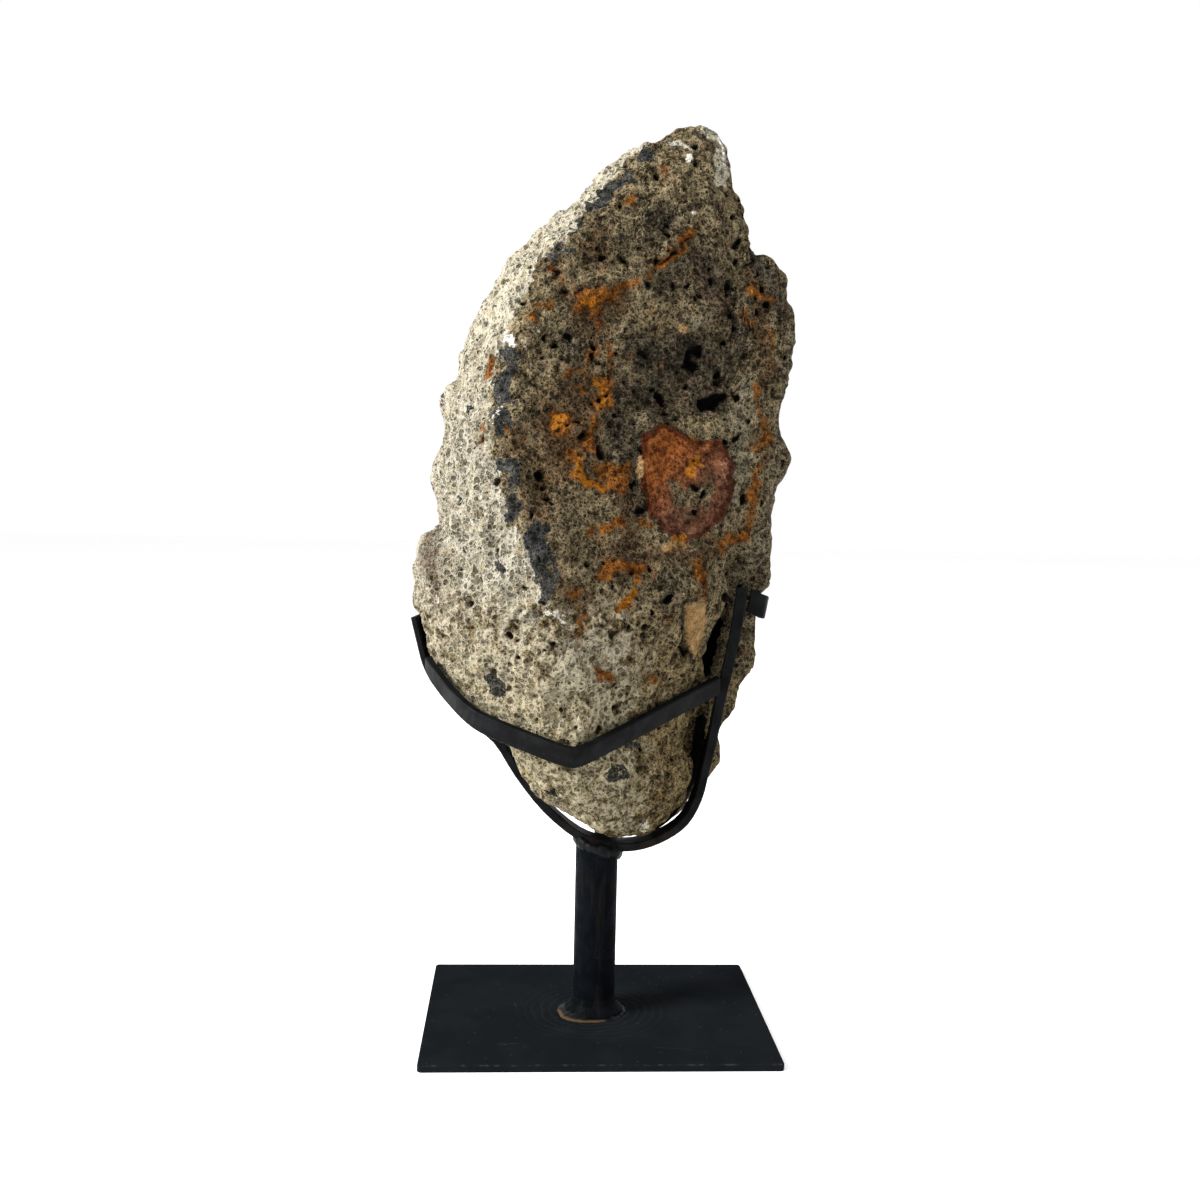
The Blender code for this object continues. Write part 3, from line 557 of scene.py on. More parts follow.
# Outlines of x and z on the front: the red ring and the flake of buff skin
RED_RING = ((21, 268), (14, 263), (12, 252), (13, 241), (16, 230), (23, 223), (31, 218),
            (40, 221), (49, 228), (54, 238), (54, 250), (51, 262), (40, 262), (29, 265))
RED_GAP = ((24, 243), (29, 244), (35, 240), (40, 243), (45, 246), (47, 242), (44, 237), (37, 234),
           (28, 235))
TAN_FLAKE = ((32, 193), (41, 193), (43, 184), (42, 179), (38, 168), (34, 177))
# The ridge between the cream side and the front, from the tip down, as z and x
RIDGE = ((404, 24), (397, 18), (382, 5), (364, -9), (345, -23), (332, -33), (310, -43), (296, -47),
         (279, -50), (267, -52), (253, -49), (239, -45), (227, -43), (216, -35), (195, -26),
         (175, -21), (154, -14), (127, -7), (88, 4))


def modified_mesh(holder):
    """The mesh of an object with its modifiers applied."""
    graph = bpy.context.evaluated_depsgraph_get()
    return bpy.data.meshes.new_from_object(holder.evaluated_get(graph), depsgraph=graph)


def rind_from_cad(cad_mesh):
    """The CAD stone without its sawn face, merged and divided finely, as an open mesh."""
    bm = bmesh.new()
    bm.from_mesh(cad_mesh)
    bmesh.ops.remove_doubles(bm, verts=bm.verts, dist=0.00001)
    sawn = [f for f in bm.faces if f.normal.dot(SAWN_NORMAL) > 0.98
            and abs((f.calc_center_median() / MM - SAWN_POINT).dot(SAWN_NORMAL)) < 0.7]
    bmesh.ops.delete(bm, geom=sawn, context="FACES")
    for vert in bm.verts:
        if vert.is_boundary:
            gap = (vert.co / MM - SAWN_POINT).dot(SAWN_NORMAL)
            vert.co -= SAWN_NORMAL * gap * MM
    bmesh.ops.recalc_face_normals(bm, faces=bm.faces)
    coarse = bpy.data.meshes.new("rind_coarse")
    bm.to_mesh(coarse)
    bm.free()
    holder = bpy.data.objects.new("rind_coarse", coarse)
    bpy.context.scene.collection.objects.link(holder)
    divide = holder.modifiers.new("divide", "SUBSURF")
    divide.levels = 1
    divide.render_levels = 1
    corners = np.array([v.co[:] for v in coarse.vertices])
    drawn_out = corners.copy()
    for _ in range(FIT_ROUNDS):
        smooth = modified_mesh(holder)
        reached = np.array([v.co[:] for v in smooth.vertices[:len(corners)]])
        bpy.data.meshes.remove(smooth)
        drawn_out += FIT_SHARE * (corners - reached)
        pull = drawn_out - corners
        length = np.linalg.norm(pull, axis=1, keepdims=True)
        drawn_out = corners + pull * np.minimum(1.0, FIT_LIMIT * MM / np.maximum(length, 1e-9))
        coarse.vertices.foreach_set("co", drawn_out.astype(np.float32).ravel())
        coarse.update()
    print("fit", np.abs(corners - reached).max() / MM)
    divide.levels = RIND_LEVELS
    divide.render_levels = RIND_LEVELS
    fine = modified_mesh(holder)
    bpy.data.objects.remove(holder)
    return fine


def lay_on_stone(lines, tree):
    """Lines of x, z and half width as points on the stone's front."""
    laid = []
    for line in lines:
        points = []
        for x, z, half in line:
            hit = tree.ray_cast(Vector((x, -200, z)), Vector((0, 1, 0)))[0]
            if hit is None:
                hit = tree.find_nearest(Vector((x, 0, z)))[0]
            points.append((*hit, half))
        laid.append(points if len(points) > 1 else points * 2)
    return laid


def inside_lines(places, laid, soft):
    """For each place, 1 well inside the lines, 0.5 on their edge and 0 outside, over soft mm."""
    nearest = np.full(len(places), 1e9)
    for line in laid:
        knots = np.array(line)
        for start, end in zip(knots, knots[1:]):
            run = end[:3] - start[:3]
            share = (places - start[:3]) @ run / max(run @ run, 1e-6)
            share = np.clip(share, 0.0, 1.0)
            foot = start[:3] + share[:, None] * run
            half = start[3] + share * (end[3] - start[3])
            nearest = np.minimum(nearest, np.linalg.norm(places - foot, axis=1) - half)
    return np.clip(0.5 - nearest / (2.0 * soft), 0.0, 1.0)


def depth_in_outline(places, outline):
    """How many mm each place lies inside an outline of x and z on the front, below 0 outside."""
    flat = places[:, (0, 2)]
    corners = np.array(outline, dtype=float)
    nearest = np.full(len(flat), 1e9)
    inside = np.zeros(len(flat), dtype=bool)
    for start, end in zip(corners, np.roll(corners, -1, axis=0)):
        run = end - start
        share = np.clip((flat - start) @ run / (run @ run), 0.0, 1.0)
        nearest = np.minimum(nearest, np.linalg.norm(flat - start - share[:, None] * run, axis=1))
        crosses = (start[1] > flat[:, 1]) != (end[1] > flat[:, 1])
        with np.errstate(divide="ignore", invalid="ignore"):
            where_x = start[0] + (flat[:, 1] - start[1]) * run[0] / run[1]
        inside ^= crosses & (flat[:, 0] < where_x)
    depth = np.where(inside, nearest, -nearest)
    return np.where(places[:, 1] < FRONT_REACH, depth, -1e3)


def froth_at(places, pale, slate):
    """The froth at each place: its height in mm, how deep in a pit it is, and a ragged shift."""
    heights = np.zeros(len(places))
    depths = np.zeros(len(places))
    shifts = np.zeros((len(places), 3))
    noise_at = noise.noise
    push_at = noise.noise_vector
    cells_at = noise.voronoi
    seed = Vector((5.3, 1.1, 8.7))
    for i, (x, y, z) in enumerate(places.tolist()):
        place = Vector((x, y, z))
        bend = push_at(place / 3.1 + seed)
        shifts[i] = push_at(place / 8.0) * 3.4 + bend * 2.2
        lump = 1.3 * noise_at(place / 9.0) + 0.9 * noise_at(place / 4.2 + seed)
        band = noise_at(Vector((x / 4.6, y / 4.6, z / 34.0)) + seed)
        lump += pale[i] * 1.9 * band
        squashed = Vector((x, y, z * 0.82)) + bend * 1.3
        spans, points = cells_at(squashed / (3.4 - 0.5 * slate[i]))
        width = 0.42 + 0.34 * noise_at(points[0] * 3.7)
        pit = max(0.0, 1.0 - (spans[0] / max(width, 0.12)) ** 2)
        rim = max(0.0, 1.0 - (spans[1] - spans[0]) / 0.35)
        spans, points = cells_at(squashed / 7.8 + seed)
        wide = 0.16 + 0.3 * noise_at(points[0] * 5.1) + 0.16 * slate[i]
        cave = max(0.0, 1.0 - (spans[0] / max(wide, 0.05)) ** 2)
        heights[i] = lump + 0.4 * rim * pale[i] - 1.25 * pit - (2.1 + 1.5 * slate[i]) * cave
        depths[i] = min(1.0, 0.5 * pit * (1.0 - 0.3 * pale[i]) + cave)
    return heights, depths, shifts


def ridge_x(heights):
    rising = np.array(RIDGE[::-1], dtype=float)
    return np.interp(heights, rising[:, 0], rising[:, 1])


def smooth_share(values, low, high):
    share = np.clip((values - low) / (high - low), 0.0, 1.0)
    return share * share * (3.0 - 2.0 * share)


def write_marks(mesh, name, columns):
    """Keep three shares per vertex on the mesh, for the rind's finish to read."""
    marks = mesh.attributes.new(name, "FLOAT_VECTOR", "POINT")
    marks.data.foreach_set("vector", np.stack(columns, axis=1).astype(np.float32).ravel())


rind = rind_from_cad(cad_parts["agate"].data)
count = len(rind.vertices)
flat = np.zeros(count * 3, dtype=np.float32)
rind.vertices.foreach_get("co", flat)
places = flat.reshape(-1, 3).astype(float) / MM
rise = TIP_RISE * smooth_share(places[:, 2], 388.0, 402.0)
rise *= 0.15 + 0.85 * smooth_share(places[:, 0], 20.0, 38.0)
places += rise[:, None] * np.array((0.0, -SAWN_NORMAL.z / SAWN_NORMAL.y, 1.0))
along_sawn = np.array((0.0, -SAWN_NORMAL.z / SAWN_NORMAL.y, 1.0))
for step_x, step_z, reach, aside, raised in RIM_STEPS:
    near = smooth_share(1.0 - np.hypot(places[:, 0] - step_x, places[:, 2] - step_z) / reach, 0, 1)
    places[:, 0] += aside * near
    places += (raised * near)[:, None] * along_sawn
flat_normals = np.zeros(count * 3, dtype=np.float32)
rind.vertices.foreach_get("normal", flat_normals)
outward = flat_normals.reshape(-1, 3).astype(float)

stone_tree = BVHTree.FromPolygons([Vector(p) for p in places.tolist()],
                                  [tuple(p.vertices) for p in rind.polygons])
steel_trees = []
for node_name in ("under_strap", "front_strap", "rim_hook", "rear_prong"):
    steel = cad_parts[node_name].data
    steel_trees.append(BVHTree.FromPolygons([v.co / MM for v in steel.vertices],
                                            [tuple(p.vertices) for p in steel.polygons]))
room = np.full(count, STEEL_REACH)
for i, place in enumerate(places.tolist()):
    for tree in steel_trees:
        distance = tree.find_nearest(Vector(place), STEEL_REACH)[3]
        if distance is not None:
            room[i] = min(room[i], distance)

left_of_ridge = ridge_x(places[:, 2]) - places[:, 0]
upper = smooth_share(places[:, 2], 160.0, 225.0)
slate = inside_lines(places, lay_on_stone(SLATE, stone_tree), 6.0)
froth, hollow_shade, shift = froth_at(places, smooth_share(left_of_ridge, -4.0, 6.0), slate)
ragged_places = places + shift
left_of_ridge = ridge_x(ragged_places[:, 2]) - ragged_places[:, 0]
pale = smooth_share(left_of_ridge / (3.0 + 14.0 * (1.0 - upper)), -1.0, 1.0) * (0.3 + 0.7 * upper)
low_pale = smooth_share(48.0 - ragged_places[:, 0], 0.0, 54.0) * (1.0 - upper) * 0.68
pale = np.maximum(pale, low_pale)
spots = inside_lines(ragged_places, lay_on_stone(PALE_SPOTS, stone_tree), 3.0)
pale = np.maximum(pale, smooth_share(spots, 0.3, 0.6))
slab_x = np.interp(places[:, 2], SLAB_Z, SLAB_X)
slab = smooth_share(ragged_places[:, 0] - slab_x, -3.0, 5.0)

manganese = inside_lines(ragged_places, lay_on_stone(MANGANESE, stone_tree), 2.5)
chalk_and_highlight = inside_lines(ragged_places, lay_on_stone(CHALK_AND_HIGHLIGHT, stone_tree), 2.5)
iron = inside_lines(ragged_places, lay_on_stone(IRON, stone_tree), 3.0)
gold = inside_lines(ragged_places, lay_on_stone(GOLD, stone_tree), 2.5)
umber = inside_lines(ragged_places, lay_on_stone(UMBER, stone_tree), 7.0)
slate = inside_lines(ragged_places, lay_on_stone(SLATE, stone_tree), 7.0)
mauve = inside_lines(ragged_places, lay_on_stone(MAUVE, stone_tree), 6.0)
olive = inside_lines(ragged_places, lay_on_stone(OLIVE, stone_tree), 5.0)
grains = inside_lines(places, lay_on_stone(TAN_GRAINS, stone_tree), 2.0)
holes = inside_lines(places + shift * 0.35, lay_on_stone(HOLES, stone_tree), 1.2)
cracks = inside_lines(places + shift * 0.35, lay_on_stone(CRACKS, stone_tree), 1.2)
ring_depth = depth_in_outline(places + shift * 0.55, RED_RING)
gap_depth = depth_in_outline(ragged_places, RED_GAP)
low_right = (places[:, 0] - 34.0) - (places[:, 2] - 246.0)
ring = smooth_share(ring_depth, -0.5, 1.2) * (1.0 - 0.8 * smooth_share(gap_depth, -2.5, 1.5))
ring *= 1.0 - 0.6 * smooth_share(ring_depth, 4.5, 8.0) * smooth_share(low_right, -8.0, 8.0)
ring_line = smooth_share(2.3 - np.abs(ring_depth - 0.5), 0.0, 1.8)
flake_depth = depth_in_outline(places + shift * 0.12, TAN_FLAKE)
flake = smooth_share(flake_depth, -0.8, 0.8)

calm = smooth_share(room, 0.8, 5.0)
height = froth * (0.25 + 0.75 * calm) * (1.0 - 0.85 * flake) * (1.0 - 0.35 * ring)
height *= 1.0 - 0.5 * smooth_share(olive, 0.4, 0.9)
height -= 3.6 * holes * calm + 2.0 * cracks * calm
height += 0.7 * ring_line + 0.6 * flake + 0.5 * smooth_share(iron, 0.4, 0.8)
height += 0.7 * smooth_share(chalk_and_highlight, 0.4, 0.8)
height = np.minimum(height, np.maximum(0.0, room - 0.9))
height = np.clip(height, -5.5, 1.8)
foot = smooth_share(132.0 - places[:, 2], 0.0, 18.0)
foot *= FOOT_RISE + FOOT_RIGHT_RISE * smooth_share(places[:, 0], 14.0, 34.0)
height = np.minimum(height + foot, np.maximum(height, room - 1.2))
shoulder = smooth_share(-places[:, 0], 56.0, 72.0) * smooth_share(places[:, 2], 132.0, 150.0)
shoulder *= 1.0 - smooth_share(places[:, 2], 182.0, 200.0)
height += SHOULDER_RISE * shoulder * smooth_share(room, 2.5, 6.0)
hollow_shade = np.maximum(hollow_shade * (1.0 - 0.8 * flake), np.maximum(holes, cracks))
# Painted shadow: a dark band just outside the raised flake's left side, with no gap in the shape.
painted_flake_shadow = smooth_share(1.8 - np.abs(flake_depth + 1.2), 0.0, 1.2) * (places[:, 0] < 38.0)
# Painted shadow of the crevice, laid into the hollow shade.
crevice_shadow = inside_lines(places + shift * 0.5, lay_on_stone(CREVICE_SHADOW, stone_tree), 2.5)
hollow_shade = np.maximum(hollow_shade, np.maximum(0.6 * painted_flake_shadow, smooth_share(crevice_shadow, 0.3, 0.7)))

sawn_normal = np.array(SAWN_NORMAL)
on_rim = np.abs((places - np.array(SAWN_POINT)) @ sawn_normal) < 0.05
move = outward * height[:, None]
move[on_rim] -= (move[on_rim] @ sawn_normal)[:, None] * sawn_normal
worn = places + move
over = (worn - np.array(SAWN_POINT)) @ sawn_normal
worn -= np.maximum(over, 0.0)[:, None] * sawn_normal
rind.vertices.foreach_set("co", (worn * MM).astype(np.float32).ravel())
write_marks(rind, "ores", (iron, gold, ring))
write_marks(rind, "stains_and_highlight", (manganese, umber, chalk_and_highlight))
write_marks(rind, "ground_and_shade", (pale, slab, hollow_shade))
write_marks(rind, "grains", (flake, grains, ring_line))
write_marks(rind, "zones", (slate, mauve, olive))
rind.update()

holder = bpy.data.objects.new("rind_fine", rind)
bpy.context.scene.collection.objects.link(holder)
if len(rind.polygons) * 2 > RIND_TRIANGLES:
    thin = holder.modifiers.new("thin", "DECIMATE")
    thin.ratio = RIND_TRIANGLES / (len(rind.polygons) * 2)
rind = modified_mesh(holder)
bpy.data.objects.remove(holder)

bm = bmesh.new()
bm.from_mesh(rind)
rim_edges = [e for e in bm.edges if e.is_boundary]
for vert in {v for e in rim_edges for v in e.verts}:
    gap = (vert.co / MM - SAWN_POINT).dot(SAWN_NORMAL)
    vert.co -= SAWN_NORMAL * gap * MM
filled = bmesh.ops.holes_fill(bm, edges=rim_edges, sides=0)["faces"]
print("sawn faces", len(filled), "rim edges", len(rim_edges), "open",
      sum(e.is_boundary for e in bm.edges), sum(not e.is_manifold for e in bm.edges))
rim_line = np.array([(e.verts[0].co / MM)[:] for e in rim_edges])
for face in filled:
    face.material_index = 1
low = rim_line.min(axis=0)
high = rim_line.max(axis=0)
for axis, direction in ((0, Vector((1, 0, 0))), (2, Vector((0, 0, 1)))):
    for cut in np.arange(math.ceil(low[axis] / CELL) * CELL, high[axis], CELL):
        sawn = [f for f in bm.faces if f.material_index == 1]
        edges = {e for f in sawn for e in f.edges}
        verts = {v for e in edges for v in e.verts}
        bmesh.ops.bisect_plane(bm, geom=list(verts) + list(edges) + sawn, dist=1e-7,
                               plane_co=direction * float(cut) * MM, plane_no=direction)
bmesh.ops.recalc_face_normals(bm, faces=bm.faces)
bmesh.ops.triangulate(bm, faces=[f for f in bm.faces if f.material_index == 1])
agate_mesh = bpy.data.meshes.new("agate_stone")
bm.to_mesh(agate_mesh)
bm.free()

finals = np.zeros(len(agate_mesh.vertices) * 3, dtype=np.float32)
agate_mesh.vertices.foreach_get("co", finals)
finals = finals.reshape(-1, 3).astype(float) / MM
inward = np.zeros(len(finals))
on_face = np.abs((finals - np.array(SAWN_POINT)) @ sawn_normal) < 0.02
for i in np.nonzero(on_face)[0]:
    inward[i] = np.min(np.linalg.norm(rim_line - finals[i], axis=1))
depth_marks = agate_mesh.attributes.new("inward", "FLOAT", "POINT")
depth_marks.data.foreach_set("value", inward.astype(np.float32))
agate_mesh.shade_smooth()
agate_mesh.set_sharp_from_angle(angle=math.radians(80))
print("agate triangles", sum(len(p.vertices) - 2 for p in agate_mesh.polygons))


def marks(tree, name):
    """The three shares kept under a name on the stone."""
    read = add_node(tree, "ShaderNodeAttribute", attribute_name=name)
    parts = add_node(tree, "ShaderNodeSeparateXYZ", {"Vector": read.outputs["Vector"]})
    return parts.outputs["X"], parts.outputs["Y"], parts.outputs["Z"]


def ragged(tree, share, fuzz, amount, low=0.4, high=0.6):
    """A share with its edge broken up by noise."""
    shift = arithmetic(tree, "MULTIPLY_ADD", fuzz, amount, -0.5 * amount)
    return step_between(tree, arithmetic(tree, "ADD", share, shift), low, high)


def ramp(tree, share, stops):
    made = tree.nodes.new("ShaderNodeValToRGB")
    tree.links.new(share, made.inputs["Fac"])
    steps = made.color_ramp.elements
    while len(steps) < len(stops):
        steps.new(0.5)
    for element, (position, colour) in zip(steps, stops):
        element.position = position
        element.color = colour
    return made.outputs["Color"]


def crumpled(tree, where, size, amount):
    """The place moved about by noise, so that what is laid on it has no even shapes."""
    push = add_node(tree, "ShaderNodeTexNoise", {"Vector": where},
                    {"Scale": 1.0 / size, "Detail": 2.0, "Roughness": 0.6}).outputs["Color"]
    push = add_node(tree, "ShaderNodeVectorMath", {0: push}, operation="SUBTRACT")
    push.inputs[1].default_value = (0.5, 0.5, 0.5)
    push = add_node(tree, "ShaderNodeVectorMath", {0: push.outputs[0]}, operation="SCALE")
    push.inputs["Scale"].default_value = amount
    return add_node(tree, "ShaderNodeVectorMath", {0: where, 1: push.outputs[0]},
                    operation="ADD").outputs[0]


def bubbles(tree, where, size, smallest, spread):
    """Gas bubbles cut open: how far inside one, how near its rim, each of its own size."""
    cells = add_node(tree, "ShaderNodeTexVoronoi", {"Vector": where}, {"Scale": 1.0 / size})
    own = add_node(tree, "ShaderNodeSeparateXYZ", {"Vector": cells.outputs["Color"]}).outputs["X"]
    reach = arithmetic(tree, "MULTIPLY_ADD", own, spread, smallest)
    inside = arithmetic(tree, "SUBTRACT", reach, cells.outputs["Distance"])
    pit = step_between(tree, inside, -0.03, 0.13)
    rim = step_between(tree, arithmetic(tree, "ABSOLUTE", arithmetic(tree, "ADD", inside, 0.1)),
                       0.1, 0.02)
    return pit, rim


def web(tree, where, size):
    """The thin walls between the bubbles, standing proud as pale threads."""
    gap = add_node(tree, "ShaderNodeTexVoronoi", {"Vector": where}, {"Scale": 1.0 / size},
                   feature="DISTANCE_TO_EDGE").outputs["Distance"]
    return step_between(tree, gap, 0.12, 0.02)


def rind_finish():
    finish, tree, shader = new_finish("agate_rind", 0.9, 0.05)
    where = millimetres(tree)
    iron_share, gold_share, ring_share = marks(tree, "ores")
    manganese_share, umber_share, chalk_and_highlight_share = marks(tree, "stains_and_highlight")
    pale_share, slab_share, hollow_shade_share = marks(tree, "ground_and_shade")
    flake_share, grain_share, line_share = marks(tree, "grains")
    slate_share, mauve_share, olive_share = marks(tree, "zones")
    patchy = cloud(tree, where, 5.0, 4.0, 0.6)
    speckle = cloud(tree, where, 1.7, 4.0, 0.72)
    fine = cloud(tree, where, 0.8, 3.0, 0.7)
    broad = cloud(tree, where, 17.0, 3.0, 0.6)
    flute = cloud(tree, add_node(tree, "ShaderNodeMapping", {"Vector": where},
                                 {"Scale": (0.26, 0.26, 0.04)}).outputs["Vector"], 1.0, 3.0)
    bent = crumpled(tree, where, 2.8, 2.0)
    pit_wide, rim_wide = bubbles(tree, bent, 3.1, 0.02, 0.46)
    pit_small, rim_small = bubbles(tree, bent, 1.6, 0.02, 0.5)
    pore = arithmetic(tree, "MAXIMUM", pit_wide, arithmetic(tree, "MULTIPLY", pit_small, 0.8))
    rims = arithmetic(tree, "MAXIMUM", rim_wide, arithmetic(tree, "MULTIPLY", rim_small, 0.7))
    threads = arithmetic(tree, "MAXIMUM", web(tree, crumpled(tree, where, 1.9, 2.6), 2.5),
                         arithmetic(tree, "MULTIPLY", web(
                             tree, crumpled(tree, where, 1.3, 1.5), 1.5), 0.75))
    threads = arithmetic(tree, "MULTIPLY", threads, step_between(tree, patchy, 0.25, 0.6))
    pepper = step_between(tree, fine, 0.47, 0.36)
    salt = step_between(tree, speckle, 0.54, 0.68)

    tone = arithmetic(tree, "MULTIPLY_ADD", speckle, 0.4, arithmetic(
        tree, "MULTIPLY_ADD", patchy, 0.35, arithmetic(tree, "MULTIPLY", fine, 0.25)))
    cream_tone = arithmetic(tree, "MULTIPLY_ADD", arithmetic(tree, "SUBTRACT", flute, 0.5), 0.9,
                            tone)
    cream = ramp(tree, cream_tone, ((0.38, rgb(84, 73, 48)), (0.46, rgb(134, 123, 96)),
                                    (0.53, rgb(162, 152, 128)), (0.62, rgb(190, 183, 163))))
    grey = ramp(tree, tone, ((0.4, rgb(22, 14, 5)), (0.46, rgb(60, 47, 26)),
                             (0.53, rgb(104, 90, 64)), (0.62, rgb(164, 150, 118))))
    dark = ramp(tree, tone, ((0.38, rgb(24, 21, 17)), (0.48, rgb(60, 54, 45)),
                             (0.56, rgb(92, 84, 72)), (0.68, rgb(168, 158, 140))))
    coal = ramp(tree, tone, ((0.38, rgb(5, 4, 3)), (0.47, rgb(26, 23, 19)),
                             (0.55, rgb(52, 47, 41)), (0.66, rgb(116, 108, 95))))
    pale_edge = ragged(tree, pale_share, patchy, 1.3, 0.3, 0.7)
    cream = tint(tree, arithmetic(tree, "MULTIPLY", step_between(tree, broad, 0.5, 0.66), 0.5),
                 cream, rgb(118, 107, 80))
    upward = step_between(tree, where_part(tree, where, "Z", 0.0), 250.0, 325.0)
    cream = tint(tree, upward, tint(tree, 1.0, cream, (0.88, 0.88, 0.88, 1.0), "MULTIPLY"),
                 tint(tree, 0.3, cream, rgb(228, 218, 190)))
    colour = tint(tree, arithmetic(tree, "MULTIPLY", step_between(tree, broad, 0.42, 0.66), 0.35),
                  grey, rgb(58, 42, 22))
    colour = tint(tree, pale_edge, colour, cream)
    ochre_dust = step_between(tree, cloud(tree, where, 7.0, 4.0, 0.65), 0.55, 0.68)
    colour = tint(tree, arithmetic(tree, "MULTIPLY", arithmetic(tree, "MULTIPLY", ochre_dust, 0.55),
                                   pale_edge), colour, rgb(166, 138, 78))
    colour = tint(tree, arithmetic(tree, "MULTIPLY", ragged(tree, slate_share, patchy, 1.2, 0.12,
                                                            0.6), 0.95), colour, coal)
    purple = ramp(tree, tone, ((0.38, rgb(20, 12, 9)), (0.5, rgb(54, 38, 31)),
                               (0.64, rgb(98, 76, 64))))
    colour = tint(tree, arithmetic(tree, "MULTIPLY", ragged(tree, mauve_share, patchy, 1.2, 0.3,
                                                            0.75), 0.75), colour, purple)
    moss = ramp(tree, tone, ((0.38, rgb(50, 50, 44)), (0.5, rgb(88, 88, 78)),
                             (0.64, rgb(126, 124, 110))))
    colour = tint(tree, arithmetic(tree, "MULTIPLY", ragged(tree, olive_share, patchy, 1.0, 0.35,
                                                            0.7), 0.8), colour, moss)
    colour = tint(tree, ragged(tree, slab_share, patchy, 0.8), colour, dark)
    pink = step_between(tree, cloud(tree, where, 5.5, 3.0), 0.52, 0.64)
    colour = tint(tree, arithmetic(tree, "MULTIPLY", arithmetic(tree, "MULTIPLY", pink, slab_share),
                                   0.4), colour, rgb(122, 88, 74))
    umber_edge = ragged(tree, umber_share, patchy, 1.5, 0.12, 0.62)
    colour = tint(tree, arithmetic(tree, "MULTIPLY", umber_edge, 0.88), colour,
                  ramp(tree, tone, ((0.39, rgb(14, 5, 1)), (0.5, rgb(53, 28, 7)),
                                    (0.62, rgb(116, 72, 31)))))
    stray = step_between(tree, cloud(tree, where, 6.5, 5.0, 0.62), 0.6, 0.66)
    colour = tint(tree, arithmetic(tree, "MULTIPLY", stray, 0.4), colour, rgb(128, 82, 36))

    # Painted shade: shade and deep darken the bubble pits, the pepper specks, the holes, cracks and caves, where
    # shadow falls.
    shade = tint(tree, pale_edge, rgb(19, 11, 3), rgb(92, 80, 50))
    deep = tint(tree, pale_edge, rgb(5, 4, 3), rgb(48, 38, 18))
    colour = tint(tree, arithmetic(tree, "MULTIPLY", pepper, arithmetic(
        tree, "MULTIPLY_ADD", pale_edge, -0.35, 0.85)), colour, shade)
    colour = tint(tree, arithmetic(tree, "MULTIPLY", salt, 0.25), colour,
                  tint(tree, pale_edge, rgb(150, 140, 116), rgb(206, 200, 184)))
    colour = tint(tree, arithmetic(tree, "MULTIPLY", pore, 0.85), colour, shade)
    open_ground = arithmetic(tree, "SUBTRACT", 1.0, arithmetic(
        tree, "MULTIPLY", arithmetic(tree, "MAXIMUM", slate_share, umber_share), 0.85))
    # Painted highlight on the bubble rims of the cream side, together with the pale threads of the bubble walls.
    rim_highlight_and_threads = arithmetic(tree, "MAXIMUM", arithmetic(tree, "MULTIPLY", rims, pale_edge), threads)
    rim_highlight_and_threads = arithmetic(tree, "MULTIPLY", rim_highlight_and_threads, arithmetic(tree, "MULTIPLY_ADD", pale_edge, 0.1,
                                                           0.62))
    colour = tint(tree, arithmetic(tree, "MULTIPLY", rim_highlight_and_threads, open_ground), colour,
                  tint(tree, pale_edge, rgb(186, 171, 136), rgb(210, 206, 190)))

    up_left = arithmetic(tree, "SUBTRACT", where_part(tree, where, "Z", 246.0),
                         where_part(tree, where, "X", 34.0))
    warmth = step_between(tree, arithmetic(tree, "MULTIPLY_ADD", patchy, 20.0, up_left), -4.0,
                          30.0)
    brick = tint(tree, warmth,
                 ramp(tree, tone, ((0.38, rgb(38, 16, 10)), (0.47, rgb(98, 60, 43)),
                                   (0.56, rgb(136, 94, 72)), (0.66, rgb(180, 144, 120)))),
                 ramp(tree, tone, ((0.38, rgb(50, 20, 5)), (0.47, rgb(128, 70, 32)),
                                   (0.56, rgb(168, 100, 50)), (0.66, rgb(204, 146, 90)))))
    tinged = step_between(tree, ring_share, 0.05, 0.5)
    colour = tint(tree, arithmetic(tree, "MULTIPLY", tinged, 0.5), colour, rgb(116, 76, 52))
    break_up = arithmetic(tree, "MULTIPLY_ADD", speckle, 0.55, arithmetic(tree, "MULTIPLY", patchy,
                                                                         0.5))
    colour = tint(tree, ragged(tree, ring_share, break_up, 1.5, 0.24, 0.62), colour, brick)
    colour = tint(tree, arithmetic(tree, "MULTIPLY", ragged(tree, line_share, speckle, 0.9, 0.35,
                                                            0.7), 0.75), colour, rgb(66, 27, 15))
    ochre = ramp(tree, tone, ((0.39, rgb(30, 13, 3)), (0.46, rgb(84, 44, 11)),
                              (0.54, rgb(124, 72, 22)), (0.64, rgb(172, 114, 52))))
    crumb = arithmetic(tree, "MULTIPLY_ADD", speckle, 0.4, arithmetic(tree, "MULTIPLY", patchy,
                                                                     0.6))
    halo = ragged(tree, iron_share, patchy, 1.6, 0.0, 0.6)
    colour = tint(tree, arithmetic(tree, "MULTIPLY", halo, 0.5), colour, rgb(92, 56, 22))
    iron_edge = ragged(tree, iron_share, crumb, 1.1, 0.34, 0.6)
    colour = tint(tree, iron_edge, colour, ochre)
    colour = tint(tree, arithmetic(tree, "MULTIPLY", arithmetic(tree, "MULTIPLY", threads, 0.4),
                                   iron_edge), colour, rgb(180, 124, 62))
